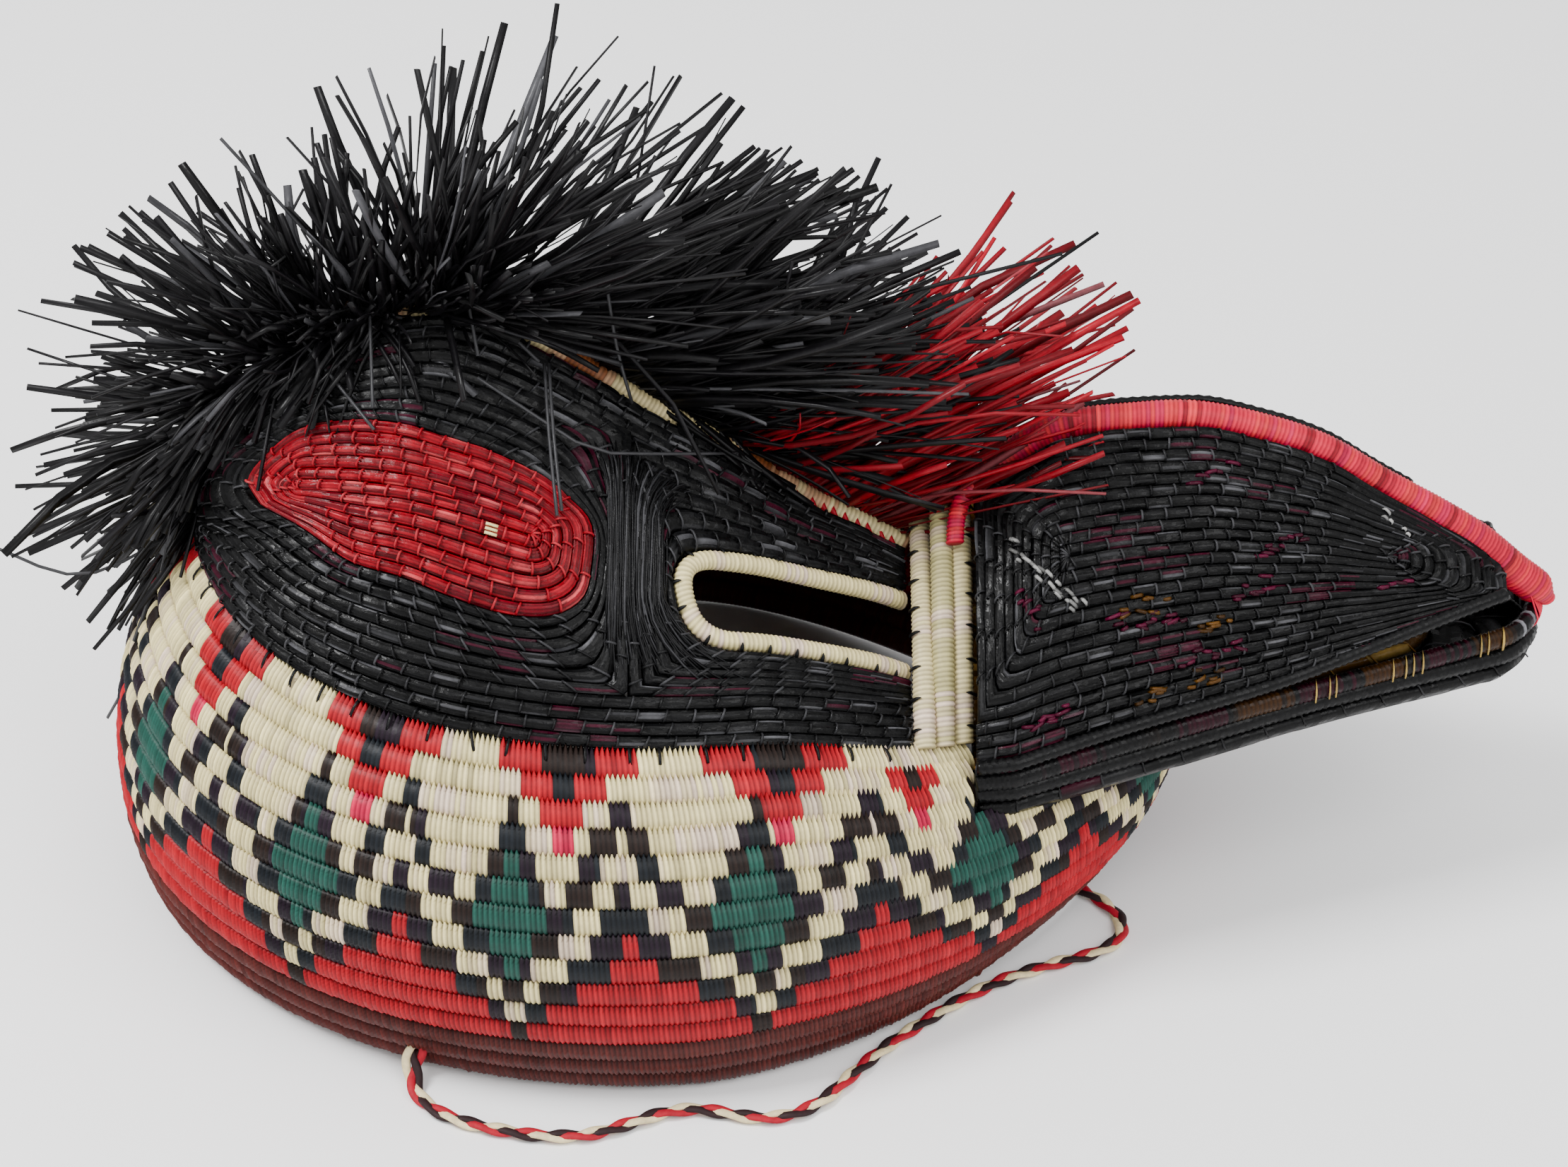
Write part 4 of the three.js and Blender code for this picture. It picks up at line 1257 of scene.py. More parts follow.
def edge_ticks(line, out, reach, spacing, rng, inward=0.55, dye=BLACK_DYE, wide=0.45):
    """Short stitches over a coil's edge: each runs from beyond the edge to a little way over
    the coil, along an arc whose height is the root of a constant less the square of the
    distance. reach is the sideways step from the middle line to the edge."""
    length = path_lengths(line)[-1]
    place = np.arange(spacing / 2, length, spacing)
    place = place + rng.normal(0, TICK_UNEVEN, len(place))
    middle = at_length(line, place)
    edge = at_length(line, place, reach)
    lift = at_length(line, place, np.broadcast_to(out, line.shape))
    t = np.linspace(TICK_START, 1 - inward, len(TICK_TAPER))
    height = np.sqrt(np.clip(TICK_ARC - t**2, 0.02, None))
    size = np.linalg.norm(edge, axis=-1)[:, None, None]
    paths = middle[:, None] + edge[:, None] * t[None, :, None]
    paths = paths + lift[:, None] * (height[None, :, None] * size * TICK_HEIGHT)
    half_width = wide * np.array(TICK_TAPER)
    facing = np.broadcast_to(lift[:, None], paths.shape)
    return threads(paths, facing, half_width, TICK_HALF_HEIGHT, dye)


rim_line, rim_out = slot_path()
rim_side = unit(np.cross(unit(np.gradient(rim_line, axis=0)), rim_out)) * (SLOT_COIL + 0.2)
for side_name, mirror in (("near", 1), ("far", -1)):
    rng = np.random.default_rng(31 + mirror)
    rim = wrapped_tube(rim_line, rim_out, SLOT_COIL, SLOT_COIL, cream_stitches(rng))
    ticks = edge_ticks(rim_line, rim_out, -rim_side, spacing=6.7, rng=rng)
    names = f"slot_coil_{side_name}", f"slot_rim_{side_name}"
    build_piece(
        names[0], [rim, ticks], WRAPPED_FIBRE, names[1], mirrored=mirror < 0
    )

# Middle seam
# One wrapped coil over the crown that joins the two head panels, cream with darker lengths.
# The crest's fibres are sewn along it, and by the beak red stitches cross it.
SEAM_DYES = (srgb(200, 184, 136), srgb(168, 130, 98), srgb(112, 60, 28))
RED_DYE = srgb(140, 6, 26)


def seam_dyes(count):
    """Cream stitches with beige and brown lengths."""
    rng = np.random.default_rng(41)
    place = np.arange(count)
    wave = np.sin(place * 0.13 + 0.6) + 0.6 * np.sin(place * 0.31) + rng.normal(0, 0.2, count)
    beige, brown = smoothstep(wave, -0.2, 0.3)[:, None], smoothstep(wave, 0.7, 1.0)[:, None]
    mixed = SEAM_DYES[0] * (1 - beige) + SEAM_DYES[1] * beige
    return (mixed * (1 - brown) + SEAM_DYES[2] * brown) * rng.normal(1, 0.07, (count, 1))


seam_coil = wrapped_tube(seam_path, (0, 1, 0), SEAM_RADIUS, SEAM_RADIUS, seam_dyes, sides=10)
seam_end = seam_path[seam_path[:, 0] > 2]
# Up from the coil, leaning back as far as the coil slopes forward
forward = unit(np.gradient(seam_end, axis=0))
seam_top = unit(np.stack([forward[:, 2], 0 * forward[:, 1], forward[:, 0]], axis=-1))
seam_parts = [seam_coil]
for side in (-1, 1):
    edge = np.tile((0, side * SEAM_RADIUS, 0), (len(seam_end), 1))
    seam_parts.append(
        edge_ticks(seam_end, seam_top, edge, 3.1, np.random.default_rng(43), 1, RED_DYE, 0.8)
    )
build_piece("seam_coil", seam_parts, WRAPPED_FIBRE, "mid_seam")

# Band
# Three wrapped coils side by side in an arch between the head and the beak. Their stitches
# interlock, and black stitches of the panels bite into both edges.
BAND_FRONT = 61.4
BAND_COILS = 3
BAND_BULGE = 4
BAND_CROWN = ((BAND_BACK, 84.5), (51, 86.5), (54.8, 93.4), (58, 93), (BAND_FRONT, 90))
BAND_DYES = (srgb(206, 192, 144), srgb(178, 168, 118), srgb(202, 188, 140))


def height_at(line, x):
    """Monotone cubic through named points: tangents are harmonic means of the slopes."""
    px, pz = np.array(line, float).T
    slope = np.diff(pz) / np.diff(px)
    product = slope[:-1] * slope[1:]
    total = slope[:-1] + slope[1:]
    inner = np.where(product > 0, 2 * product / np.where(total == 0, 1, total), 0)
    tangent = np.r_[slope[0], inner, slope[-1]]
    k = np.clip(np.searchsorted(px, x, side="right") - 1, 0, len(slope) - 1)
    span = px[k + 1] - px[k]
    t = np.clip((x - px[k]) / span, 0, 1)
    return (
        pz[k] * (1 + 2 * t) * (1 - t) ** 2
        + pz[k + 1] * t * t * (3 - 2 * t)
        + tangent[k] * span * t * (1 - t) ** 2
        + tangent[k + 1] * span * t * t * (t - 1)
    )


def band_arch(x, lift):
    """Line over the mask at one x and its outward direction: two bowed slopes from the wall's
    top row to the crown, the far one a mirror of the near one."""
    across = np.linspace(0, 1, 121)
    up = (1 - np.abs(2 * across - 1))[:, None]
    angle = np.interp(x, wall_point(WALL_ROWS, half_turn)[:, 0], half_turn)
    foot = wall_point(WALL_ROWS, angle)
    crown = np.array([x, 0, height_at(BAND_CROWN, np.array(x))])
    climb = crown - foot
    out = unit(np.array([0, -climb[2], climb[1]]))
    line = foot + unit(climb) * FOOT_GAP + climb * up
    line = line + out * (BAND_BULGE * 4 * up * (1 - up) + lift * (1 - up))
    line[:, 2] += lift * up[:, 0]
    side = np.clip((2 * across - 1) * 8, -1, 1)
    line[across > 0.5, 1] *= -1
    out = np.stack([0 * across, -side * out[1], 0 * across + out[2]], axis=-1)
    return line, unit(out)


band_parts = []
band_rng = np.random.default_rng(45)
coil_width = (BAND_FRONT - BAND_BACK) / BAND_COILS
for k in range(BAND_COILS):
    line, out = band_arch(BAND_BACK + (k + 0.5) * coil_width, lift=-1.2)
    dyes = cream_stitches(band_rng, BAND_DYES[k])
    band_parts.append(wrapped_tube(line, out, coil_width / 2 + 0.35, 2.5, dyes))
    if k != 1:
        side = np.tile((np.sign(k - 1) * (coil_width / 2 + 0.3), 0, 0), (len(line), 1))
        band_parts.append(edge_ticks(line, out, side, spacing=7.5, rng=band_rng, inward=0.7))
build_piece("band_coils", band_parts, WRAPPED_FIBRE, "beak_band")

# Upper beak
# Two panels of the same tied black coils in nested rings with straight rows below them, a
# smooth black coil along each lower edge, and a red wrapped coil over the ridge that ends
# blunt at the tip.
UPPER_BEAK_END = 184
BEAK_HALF_WIDTH = 57
TIP_HALF_WIDTH = 2
BEAK_POINT = 205
BEAK_TAPER_START = 70
BEAK_BULGE = (6, 1.5)
RIDGE_RADIUS = 3.7
# The ridge coil's own radius, its swelling before the tip and its closing at the tip
RIDGE_COIL = 3.4
RIDGE_SWELL = 0.8
RIDGE_CLOSING = 2.4
LACED_UP_TO = 0.9
LACE_DROP = (0, 0, -1.3)
BEAK_RINGS = 10
BEAK_STRAIGHT_ROWS = 4
BEAK_STRAIGHT_UP = 0.17
BEAK_MIDDLE = (0.17, 0.76)
BEAK_STITCH = 5.4
GOLD_DYE = srgb(84, 50, 12)
RIDGE_DYES = (srgb(198, 20, 54), srgb(206, 40, 52), srgb(190, 14, 66), srgb(140, 10, 32))
RIDGE_LINE = (
    (BEAK_BACK, 96),
    (72, 106.5),
    (82, 112.8),
    (97, 115.2),
    (111, 115.8),
    (128, 111.9),
    (141, 106.7),
    (153, 98.8),
    (166, 90.4),
    (178, 81.6),
    (187, 73.4),
)
RIDGE_TIP = ((191.8, 0, 69.4), (195.6, 0, 65.4))
RIDGE_COLLAR = ((66, -1.5, 100.5), (60.6, -4.5, 98.2), (58.4, -9, 94.6), (57.8, -14, 90.6))
UPPER_EDGE = ((BEAK_BACK, 59.4), (96, 64), (128, 66.4), (153, 70.5), (171, 73.6), (186, 75.5))


def beak_half_width(x):
    """Half width of the beak, tapering to a narrow tip."""
    t = np.clip((x - BEAK_TAPER_START) / (BEAK_POINT - BEAK_TAPER_START), 0, 1)
    return BEAK_HALF_WIDTH * (1 - t) ** 0.85 + TIP_HALF_WIDTH


def beak_point(along, up):
    """Outer face of the near beak panel: a low arch from the lower edge to the ridge."""
    along = np.asarray(along, float)
    x = BEAK_BACK + (UPPER_BEAK_END - BEAK_BACK) * along
    foot = np.stack([x, -beak_half_width(x), height_at(UPPER_EDGE, x)], axis=-1)
    crown = np.stack([x, 0 * x - RIDGE_RADIUS - GAP, height_at(RIDGE_LINE, x)], axis=-1)
    climb = crown - foot
    out = unit(np.stack([0 * x, -climb[..., 2], climb[..., 1]], axis=-1))
    up = np.asarray(up, float)[..., None]
    bulge = (BEAK_BULGE[0] + (BEAK_BULGE[1] - BEAK_BULGE[0]) * along)[..., None]
    return foot + climb * up + out * (bulge * 4 * up * (1 - up))


def beak_edges():
    """Row edges of nested rings from a middle line out to the four sides of the panel, and of
    the straight rows along the lower edge."""
    t = np.linspace(0, 1, 161)[:-1]
    low, high = BEAK_STRAIGHT_UP, 1 - BEAK_STRAIGHT_UP
    outer = np.vstack(
        [
            np.stack([t, 0 * t + low], axis=-1),
            np.stack([0 * t + 1, low + high * t], axis=-1)[::4],
            np.stack([1 - t, 0 * t + 1], axis=-1),
            np.stack([0 * t, 1 - high * t], axis=-1),
        ]
    )
    x = np.clip(outer[:, 0], *BEAK_MIDDLE)
    rings = ruled_edges(np.stack([x, 0.61 - 0.03 * x], axis=-1), outer, BEAK_RINGS)
    along = np.linspace(0, 1, 161)
    lowest = np.stack([along, 0 * along], axis=-1)
    straight_rows = ruled_edges(lowest, lowest + (0, low), BEAK_STRAIGHT_ROWS)
    return rounded(rings, 0.022), straight_rows


# Worn and tinted spots of the near panel: where each starts and ends, how many short strands
# it has, and their colour
WORN_GREY = srgb(150, 150, 148)
TINT_PINK = srgb(74, 8, 38)
TINT_GOLD = srgb(78, 50, 14)
WORN_SPOTS = (
    ((0.062, 0.712), (0.192, 0.40), 22, WORN_GREY),
    ((0.76, 0.84), (0.80, 0.79), 5, WORN_GREY),
    ((0.27, 0.41), (0.34, 0.40), 8, TINT_GOLD),
    ((0.41, 0.30), (0.46, 0.30), 8, TINT_GOLD),
    ((0.30, 0.10), (0.34, 0.11), 7, TINT_GOLD),
    ((0.40, 0.12), (0.44, 0.14), 6, TINT_GOLD),
    ((0.25, 0.36), (0.38, 0.33), 14, TINT_PINK),
    ((0.48, 0.40), (0.54, 0.42), 8, TINT_PINK),
    ((0.52, 0.55), (0.60, 0.62), 9, TINT_PINK),
    ((0.08, 0.52), (0.12, 0.42), 6, TINT_PINK),
    ((0.10, 0.12), (0.16, 0.12), 8, TINT_PINK),
    ((0.38, 0.20), (0.48, 0.22), 9, TINT_PINK),
    ((0.74, 0.40), (0.80, 0.40), 5, TINT_PINK),
    ((0.40, 0.82), (0.46, 0.84), 5, TINT_PINK),
)


def flecks(start, end, count, dye, rng):
    """Short strands of another colour scattered along a line on the near beak panel."""
    t = np.linspace(0, 1, count)[:, None]
    place = np.array(start) + (np.array(end) - start) * t
    place = place + rng.normal(0, 1, (count, 2)) * (0.008, 0.018)
    slope = rng.normal(0, 0.4, (count, 1)) + (2.2 if dye is WORN_GREY else 0)
    reach = rng.uniform(0.006, 0.016, (count, 1)) * np.linspace(-1, 1, 5)
    reach = reach / np.sqrt(1 + 0.4 * slope**2)
    along, up = place[:, :1] + reach, place[:, 1:] - slope * reach
    point, normal = surface_frame(beak_point, along, up)
    height = 0.62 - 0.9 * np.linspace(-1, 1, 5) ** 4
    dyes = dye * rng.uniform(0.25, 1, (count, 1))
    return threads(point + normal * height[:, None], normal, 0.42, 0.16, dyes, sides=4)


def ridge_dyes(count):
    """Red stitches in a few mixed shades, darker towards the head."""
    rng = np.random.default_rng(53)
    shade = np.array(RIDGE_DYES)[rng.choice(4, count, p=(0.5, 0.25, 0.15, 0.1))]
    paler = 0.66 + 0.34 * smoothstep(np.linspace(0, 1, count), 0.1, 0.4)
    return shade * rng.normal(1, 0.14, (count, 1)) * paler[:, None]


def plain(dye):
    """Stitches all of one colour."""
    return lambda count: np.tile(dye, (count, 1))


ridge_rng = np.random.default_rng(55)
ridge_path = smooth_path([(x, 0, z) for x, z in RIDGE_LINE] + list(RIDGE_TIP))
place = path_lengths(ridge_path) / path_lengths(ridge_path)[-1]
swelling, closing = smoothstep(place, 0.75, 0.95), smoothstep(place, 0.985, 1.0)
ridge_size = RIDGE_COIL + RIDGE_SWELL * swelling - RIDGE_CLOSING * closing
laced = ridge_path[place < LACED_UP_TO]
lace_reach = np.tile(LACE_DROP, (len(laced), 1))
ridge_parts = [
    wrapped_tube(ridge_path, (0, 1, 0), ridge_size, ridge_size, ridge_dyes, 1.0, 14),
    wrapped_tube(smooth_path(RIDGE_COLLAR), (0, -1, 1), 2.0, 1.6, ridge_dyes, 0.9, 8),
]
for side in (-1, 1):
    middle = laced + (0, side * 2.6, -2.4)
    ridge_parts.append(edge_ticks(middle, (0, side, 0.3), lace_reach, 7.4, ridge_rng, 1.2))
build_piece("ridge_coil", ridge_parts, WRAPPED_FIBRE, "beak_ridge")

for side_name, mirror in (("near", 1), ("far", -1)):
    rng = np.random.default_rng(51 + mirror)
    rings, straight_rows = beak_edges()
    x = np.linspace(BEAK_BACK + 0.5, UPPER_BEAK_END - 1, 60)
    foot = np.stack([x, 1.2 - beak_half_width(x), height_at(UPPER_EDGE, x) + 1.3], axis=-1)
    x = np.linspace(BEAK_BACK + 12, UPPER_BEAK_END - 22, 60)
    crown = np.stack([x, 0 * x - 3.4, height_at(RIDGE_LINE, x) + 2.2], axis=-1)
    parts = [
        bundle_patch(rings, beak_point, BLACK_DYE, True, rng, stitch=BEAK_STITCH),
        bundle_patch(straight_rows, beak_point, BLACK_DYE, False, rng, stitch=BEAK_STITCH),
        wrapped_tube(foot, (0, -1, 0), 1.6, 1.7, plain(BLACK_DYE), 1.6, 10),
    ]
    if mirror < 0:
        parts.append(wrapped_tube(crown, (0, -1, 0), 1.0, 1.0, plain(BLACK_DYE), 2.4, 8))
    else:
        parts += [flecks(*spot, rng) for spot in WORN_SPOTS]
    names = f"beak_coils_{side_name}", f"beak_panel_{side_name}"
    build_piece(names[0], parts, BUNDLE_FIBRE, names[1], mirrored=mirror < 0)

# Lower beak
# A shallow tray of tied black coils: rows following its outline over the floor, a smooth
# coil round its edge, a gold and brown lining, and a rim coil tied with gold stitches.
BEAK_TIP = 192
TIP_ROUND = 9
LOWER_RIM = ((BEAK_BACK, 58.4), (96, 62.3), (128, 64.5), (150, 65.1), (BEAK_TIP, 65.8))
TRAY_FLOOR_ROWS = 8
LINING_ROWS = 5
LINING_HEIGHT = 5.2
LINING_REACH = 0.86
LINING_DYE = srgb(96, 64, 18)
LINING_GLINT = srgb(206, 172, 92)
# How far the rim and edge coils stand inside the outline, and the red lashes at the tip
RIM_INSET = 1.8
TIP_LASHES = 6
TIP_CENTRE_X = 176
LASH_TOP = (190.5, 69.5)
# How much the floor's rows shorten towards the middle, and the lining's start inside them
FLOOR_SHRINK = 0.75
LINING_INSET = 0.06


def tray_outline(along):
    """Side of the tray from the near back corner round the tip to the far back corner."""
    half = BEAK_TIP - 0.05
    x = BEAK_BACK + (half - BEAK_BACK) * (1 - np.abs(2 * along - 1) ** 1.6)
    into = np.clip((x - (BEAK_TIP - TIP_ROUND)) / TIP_ROUND, 0, 1)
    y = beak_half_width(x) * np.sqrt(np.maximum(1 - into**2.2, 0))
    return x, np.where(along < 0.5, -y, y)


def tray_floor(along, inward):
    """Underside of the tray, from its outline in to the middle line."""
    x, y = tray_outline(np.asarray(along, float))
    keep = 1 - np.asarray(inward, float)
    x = BEAK_BACK + (x - BEAK_BACK) * (1 - FLOOR_SHRINK + FLOOR_SHRINK * keep)
    return np.stack([x, y * keep, height_at(UNDER_BEAK, x) + 0.3], axis=-1)


def tray_lining(along, inward):
    """Upper face of the tray's floor, facing up and ending short of the tip."""
    inward = LINING_INSET + (1 - LINING_INSET) * np.asarray(inward, float)
    point = tray_floor(along, inward)
    shorter = (BEAK_BACK + (point[..., :1] - BEAK_BACK) * LINING_REACH, point[..., 1:])
    return np.concatenate(shorter, axis=-1) + (0, 0, LINING_HEIGHT)


def rim_dyes(count):
    """Black stitches with brown and maroon lengths towards the tip."""
    rng = np.random.default_rng(63)
    place = 1 - np.abs(np.linspace(-1, 1, count))
    wave = np.sin(np.arange(count) * 0.23) + rng.normal(0, 0.3, count)
    brown = (smoothstep(wave, 0, 0.8) * smoothstep(place, 0.25, 0.45))[:, None]
    maroon = smoothstep(-wave, 0.3, 0.8)[:, None] * (1 - brown)
    dyes = BLACK_DYE + (GOLD_DYE * 0.35 - BLACK_DYE) * brown
    dyes = dyes + (MAROON_DYE * 0.35 - BLACK_DYE) * maroon
    pale = (place > 0.93) & (rng.random(count) < 0.45)
    return np.where(pale[:, None], SHEEN_AND_WEAR_GREY * 1.6, dyes)


tray_rng = np.random.default_rng(61)
across = np.linspace(0, 1, 241)
outline = np.stack([across, 0 * across], axis=-1)
floor_rows = ruled_edges(outline, outline + (0, 0.97), TRAY_FLOOR_ROWS)
lining_rows = ruled_edges(outline, outline + (0, 0.97), LINING_ROWS)[:, ::-1]
rim_x, rim_y = tray_outline(across)
rim_in = np.stack([0 * across, -np.sign(rim_y) * RIM_INSET, 0 * across], axis=-1)
rim_path = np.stack([rim_x, rim_y, height_at(LOWER_RIM, rim_x) - 2.2], axis=-1) + rim_in
edge_path = np.stack([rim_x, rim_y, height_at(UNDER_BEAK, rim_x) + 2.1], axis=-1) + rim_in
beside_tip = np.abs(rim_y) > RIM_INSET
rim_path, edge_path = rim_path[beside_tip], edge_path[beside_tip]
rim_down = (0, -1.5, -1.7)
tray_parts = [
    bundle_patch(floor_rows, tray_floor, BLACK_DYE, False, tray_rng),
    bundle_patch(
        lining_rows, tray_lining, LINING_DYE, False, tray_rng, 0.5, GOLD_DYE, sheen_and_wear=LINING_GLINT
    ),
    wrapped_tube(rim_path, (0, 0, 1), 1.9, 2.4, rim_dyes, 1.1, 10),
    wrapped_tube(edge_path, (0, 0, 1), 1.9, 2.2, plain(BLACK_DYE), 1.6, 10),
]
# Gold stitches over the near rim, in four short runs between these places along the mask
for first_x, last_x in ((137, 145), (149, 151), (156, 165), (177, 186)):
    kept = (rim_path[:, 1] < 0) & (rim_path[:, 0] > first_x) & (rim_path[:, 0] < last_x)
    line, out = rim_path[kept], (0, -0.75, 0.65)
    down = np.tile(rim_down, (len(line), 1))
    ticks = edge_ticks(line, out, down, 2.3, tray_rng, 2.0, LINING_GLINT * 0.6, 0.2)
    tray_parts.append(ticks)
# Red lashes over the rim's front, up to the end of the ridge coil
for across_tip in np.linspace(-4.6, -0.4, TIP_LASHES):
    near_rim = rim_path[rim_path[:, 1] <= 0]
    front = near_rim[np.argmin(np.abs(near_rim[:, 1] - across_tip))]
    outward = unit(front - (TIP_CENTRE_X, 0, front[2]))
    top = (LASH_TOP[0], 0.8 * across_tip, LASH_TOP[1])
    lash = [top, front + outward * 1.6 + (0, 0, 2.4)]
    lash += [front + outward * 2.3, front + outward * 0.6 - (0, 0, 2.7)]
    lash = smooth_path(lash)
    lash = at_length(lash, np.linspace(0, path_lengths(lash)[-1], 12))
    tray_parts.append(threads(lash[None], outward, 0.42, 0.22, RIDGE_DYES[0]))
build_piece("lower_beak_coils", tray_parts, BUNDLE_FIBRE, "lower_beak")

# Crest
# Loose palm strips sewn in bunches along the middle seam, black over the head and red by the
# beak. They stand out in a fan, cross one another, and here and there are folded.
# Each line of the fan: fraction along the seam, then where its longest strips end.
BLACK_FAN = (
    (0.01, -140, 62),
    (0.04, -150, 64),
    (0.07, -155, 75),
    (0.10, -158, 93),
    (0.125, -157, 110),
    (0.15, -154, 126),
    (0.18, -153, 142),
    (0.205, -149, 154),
    (0.23, -139, 168),
    (0.255, -128, 177),
    (0.275, -111, 179),
    (0.295, -95, 177),
    (0.316, -82, 183),
    (0.338, -69, 197),
    (0.362, -46, 206),
    (0.39, -22, 213),
    (0.415, -2, 211),
    (0.442, 8, 198),
    (0.458, 12, 184),
    (0.475, 34, 176),
    (0.515, 52, 175),
    (0.561, 62, 173),
    (0.62, 66, 158),
    (0.68, 72, 146),
    (0.75, 78, 140),
    (0.80, 84, 130),
)
RED_FAN = (
    (0.77, 80, 161),
    (0.82, 88, 155),
    (0.878, 105, 146),
    (0.92, 109, 136),
    (0.95, 103, 128),
    (0.975, 95, 121),
)
# How far bunches and single strips turn in the seam's plane and lean across it, in radians
BUNCH_SPREAD = (0.13, 0.2)
STRIP_SPREAD = (0.16, 0.2)
# Share of strips that stray further, and how many times as far
OUTLIER_SHARE = 0.11
OUTLIER_SPREAD = 2.6
# Fractions along the seam where the crown starts and where the strips cross most
CROWN_SPAN = (0.42, 0.52)
TANGLE_START = (0.12, 0.2)
TANGLE_END = (0.42, 0.5)
# How much more bunches and strips turn where they cross most, and the most any turns
TANGLE_TURN = (0.9, 1.5)
LARGEST_TURN = 0.9
FAN_MIDDLE = (-35, 115)
LEAN_RISE = 0.7
FULL_LENGTH_SHARE = 0.7
# Strips this far back may fall over the near side, and the share that does
DROOP_UP_TO = 0.38
DROOP_SHARE = 0.34
FOLDED_SHARE = 0.1
# Share of crest strips lightened towards pale grey as painted glints
GLINTING_STRIP_SHARE = 0.07
STRIP_HALF_HEIGHT = 0.16
STRAY_DYE = srgb(50, 50, 52)
BLACK_STRIP = srgb(8, 7, 9)
RED_STRIP = RED_DYE * 0.74


def within_fan(table, root, aim, reach):
    """Reach of each strip, cut where its end, seen along the mask's side, would pass the
    fan's line by more than three per cent. Ends are compared by direction from the fan's
    middle, and a strip that leans across looks higher."""
    edge = table[:, 1:] - FAN_MIDDLE
    end = root + aim * reach[:, None]
    end = np.stack([end[:, 0], end[:, 2] + LEAN_RISE * end[:, 1]], axis=-1) - FAN_MIDDLE
    edge_turn, end_turn = (np.arctan2(v[:, 1], -v[:, 0]) for v in (edge, end))
    limit = np.interp(end_turn, edge_turn, np.linalg.norm(edge, axis=1))
    return reach * np.clip(1.03 * limit / np.linalg.norm(end, axis=1), 0.4, 1)


def bent_paths(root, aim, reach, droop, rng):
    """Five points a strip: a straight line along its aim, bowed by a parabola, with a kink
    past 0.6 of its length where it is folded, and sagging with the square of the distance."""
    count = len(root)
    t = np.linspace(0, 1, 5)[None, :, None]
    paths = root[:, None] + aim[:, None] * reach[:, None, None] * t
    bow = rng.normal(0, 0.035, (count, 1, 3)) * reach[:, None, None]
    fold = rng.normal(0, 0.4, (count, 1, 3)) * reach[:, None, None]
    folded = (rng.random(count) < FOLDED_SHARE)[:, None, None]
    paths = paths + bow * 4 * t * (1 - t) + np.where(folded, fold, 0) * np.clip(t - 0.6, 0, None)
    paths[..., 2] -= (reach * droop)[:, None] * t[..., 0] ** 2
    return paths


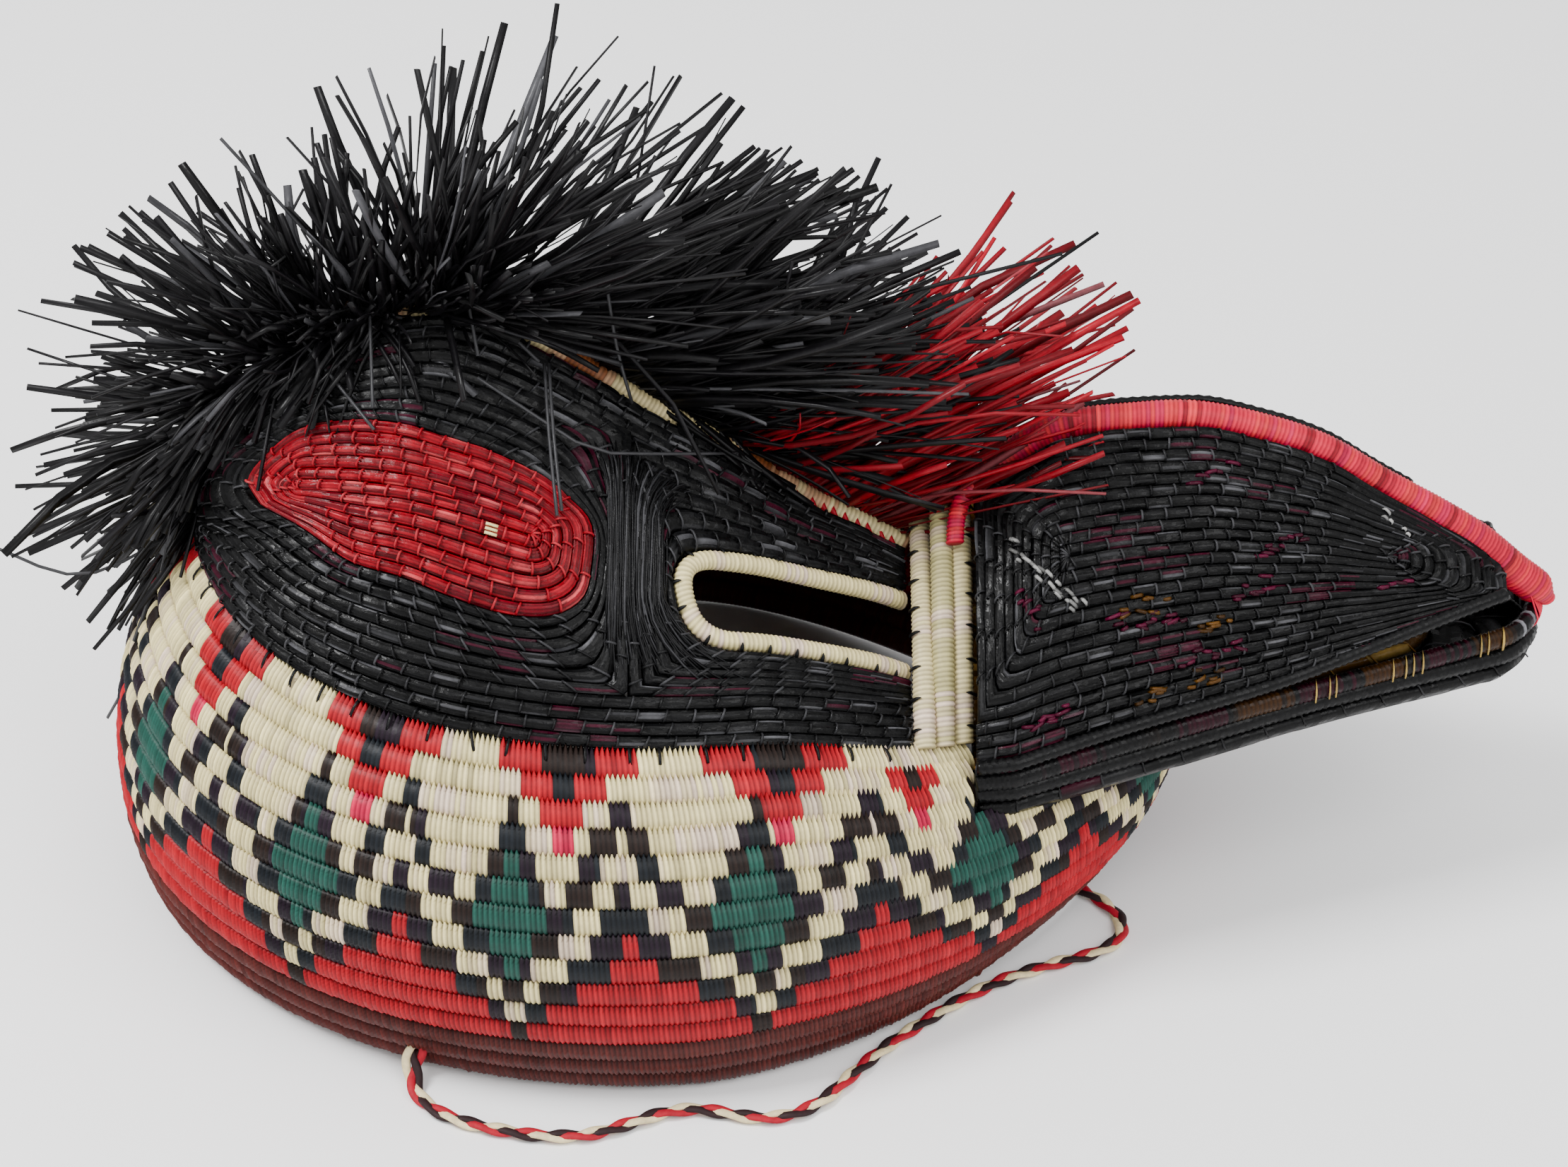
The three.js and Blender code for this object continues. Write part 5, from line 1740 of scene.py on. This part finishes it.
def crest_strips(fan, bunches, strips, dye, disorder, rng):
    """Flat strips from the seam towards the fan's line. Every bunch leans its own way, and
    every strip a little off its bunch, in and across the plane of the seam. Most reach far,
    three in ten are short, and some at the back fall over the near side."""
    table = np.array(fan, float)
    bunch = np.repeat(np.arange(bunches), strips)
    count = len(bunch)
    part = np.linspace(table[0, 0], table[-1, 0], bunches)[bunch] + rng.normal(0, 0.006, count)
    part = np.clip(part, 0.005, 0.985)
    side = rng.choice((-1.0, 1.0), count)
    root = at_length(seam_path, part * path_lengths(seam_path)[-1])
    crown = smoothstep(part, *CROWN_SPAN)
    across = side * (1 - crown) + crown
    root = root + np.stack([0 * part, across * rng.uniform(0.5, 2.6, count), 0 * part + 1.0], -1)
    tip = [np.interp(part, table[:, 0], column) for column in table[:, 1:].T]
    away = np.stack([tip[0] - root[:, 0], tip[1] - root[:, 2]], axis=-1)
    span = np.linalg.norm(away, axis=-1)
    outlier = np.where(rng.random(count) < OUTLIER_SHARE, OUTLIER_SPREAD, 1.0)
    tangle = smoothstep(part, *TANGLE_START) * smoothstep(-part, -TANGLE_END[1], -TANGLE_END[0])
    turn = rng.normal(0, BUNCH_SPREAD[0], bunches)[bunch] * (1 + TANGLE_TURN[0] * tangle)
    stray = rng.normal(0, STRIP_SPREAD[0], count) * outlier
    turn = turn + stray * (1 + TANGLE_TURN[1] * tangle)
    turn = disorder * turn.clip(-LARGEST_TURN, LARGEST_TURN)
    lean = rng.normal(0, BUNCH_SPREAD[1], bunches)[bunch]
    lean = lean + rng.normal(0, STRIP_SPREAD[1], count) * outlier
    # Over the head they fall to both sides, and past the crown mostly to the far one
    lean = lean.clip(0.3 * crown - 0.85, 1.1 - 0.5 * crown)
    lean = lean + 0.32 * crown - 0.2 + (0.28 - 0.2 * crown) * side
    long_reach = (0.55 + 0.45 * rng.beta(2.2, 1.4, count)) * rng.uniform(0.8, 1.04, bunches)[bunch]
    short_reach = rng.uniform(0.2, 0.6, count)
    is_long = rng.random(count) < FULL_LENGTH_SHARE
    reach = span * np.where(is_long, long_reach, short_reach)
    reach = np.where(lean < -0.5, 0.5 * reach, reach)
    over = (part < DROOP_UP_TO) & (rng.random(count) < DROOP_SHARE)
    lean = np.where(over, rng.normal(-0.8, 0.25, count), lean)
    reach = np.where(over, rng.uniform(10, 32, count), reach)
    pitch = np.arctan2(away[:, 1], away[:, 0]) + turn
    fallen = np.pi * (rng.random(count) < 0.8) + rng.normal(0, 0.45, count)
    pitch = np.where(over, fallen, pitch)
    aim = np.stack(
        [np.cos(pitch) * np.cos(lean), np.sin(lean), np.sin(pitch) * np.cos(lean)], axis=-1
    )
    reach = within_fan(table, root, aim, reach)
    paths = bent_paths(root, aim, reach, 0.06 * np.cos(pitch) ** 2 + 0.35 * over, rng)
    facing = unit(rng.normal(0, 0.55, (count, 1, 3)) + np.array([0, -1, 0.7]))
    width = rng.gamma(6, 0.105, (count, 1)).clip(0.25, 1.2) * np.array([0.6, 1, 1, 1, 0.85])
    # Painted glints: a few strips lightened towards pale grey
    sheen_and_wear = (rng.random((count, 1)) < GLINTING_STRIP_SHARE) * rng.uniform(0.1, 0.5, (count, 1))
    dyes = dye * rng.normal(1, 0.35, (count, 1)).clip(0.3, 2)
    dyes = dyes + (SHEEN_AND_WEAR_GREY - dyes) * sheen_and_wear
    facing = np.broadcast_to(facing, paths.shape)
    return threads(paths, facing, width, STRIP_HALF_HEIGHT, dyes, sides=4)


# Single strips placed one by one, most of them slipped down over the near panel and three
# sticking out at the back: the points that each passes
STRAY_STRIPS = (
    ((-19, -7, 154), (-17, -9, 139), (-14, -8, 124)),
    ((-33, -9, 135), (-31.5, -24.5, 126), (-29.5, -39, 115)),
    ((-32, -9, 135), (-30.5, -24.5, 126), (-28.5, -38, 115.5)),
    ((-47, -18, 137), (-31, -22, 127), (-22, -23, 121.5), (-7, -16, 116), (9, -5, 109)),
    ((-47, -4, 147), (-34, -10, 136)),
    ((-71, -4, 147), (-69.5, -24, 133)),
    ((-87, -4, 139), (-69, -28, 130)),
    ((-50, -4, 152), (-47, -14, 140)),
    ((4, -6, 122), (19, -8, 124)),
    ((-112, -3, 86), (-124, -5, 62), (-139, -2, 33)),
    ((-80, 0, 157), (-90, 0, 171), (-101, 0, 186)),
    ((-113, -3, 90), (-140, -8, 78), (-162, -4, 84)),
)
# Short strips that lie over the seam coil, in front of the crown
LAID_STRIPS = (
    ((-2, 0, 116), (8, -2.5, 109), (20, -5, 99.5)),
    ((2, 2, 115), (9, -3.5, 107.5), (14, -10, 101)),
    ((6, 1, 112), (14, -3, 104), (26, -5, 94.8)),
    ((-4, -3, 116), (6, -4.5, 108.5), (15, -8, 101)),
    ((8, 2, 111), (12, -3, 105.5), (13, -12, 99.5)),
    ((-10, 1, 122), (0, -3, 114), (10, -6, 105.5)),
    ((0, -1, 115), (10, -3.5, 107), (22, -3, 98.2)),
)
STRIP_FIBRE = fibre_material(
    "strip_fibre", roughness=0.3, specular=0.2, patches=0.3, patch_scale=300, bump=0.2, dull=0.3
)


def placed_strips(lines, half_width, dye):
    """Strips along smooth curves through given points, with nine even steps in each."""
    paths = []
    for corners in lines:
        line = smooth_path(corners)
        paths.append(at_length(line, np.linspace(0, path_lengths(line)[-1], 9)))
    return threads(np.array(paths), (0, -0.7, 0.7), half_width, STRIP_HALF_HEIGHT, dye, sides=4)


black_rng, red_rng = np.random.default_rng(25), np.random.default_rng(6)
black_parts = [
    crest_strips(BLACK_FAN, 38, 34, BLACK_STRIP, disorder=1.0, rng=black_rng),
    # Nine more bunches thicken it from the back of the head to the crown
    crest_strips(BLACK_FAN[8:18], 9, 30, BLACK_STRIP, disorder=1.0, rng=black_rng),
    placed_strips(STRAY_STRIPS, 0.38, STRAY_DYE),
    placed_strips(LAID_STRIPS, 0.75, BLACK_STRIP),
]
red_parts = [crest_strips(RED_FAN, 13, 16, RED_STRIP, disorder=0.5, rng=red_rng)]
build_piece("crest_strips_black", black_parts, STRIP_FIBRE, "crest_black")
build_piece("crest_strips_red", red_parts, STRIP_FIBRE, "crest_red")
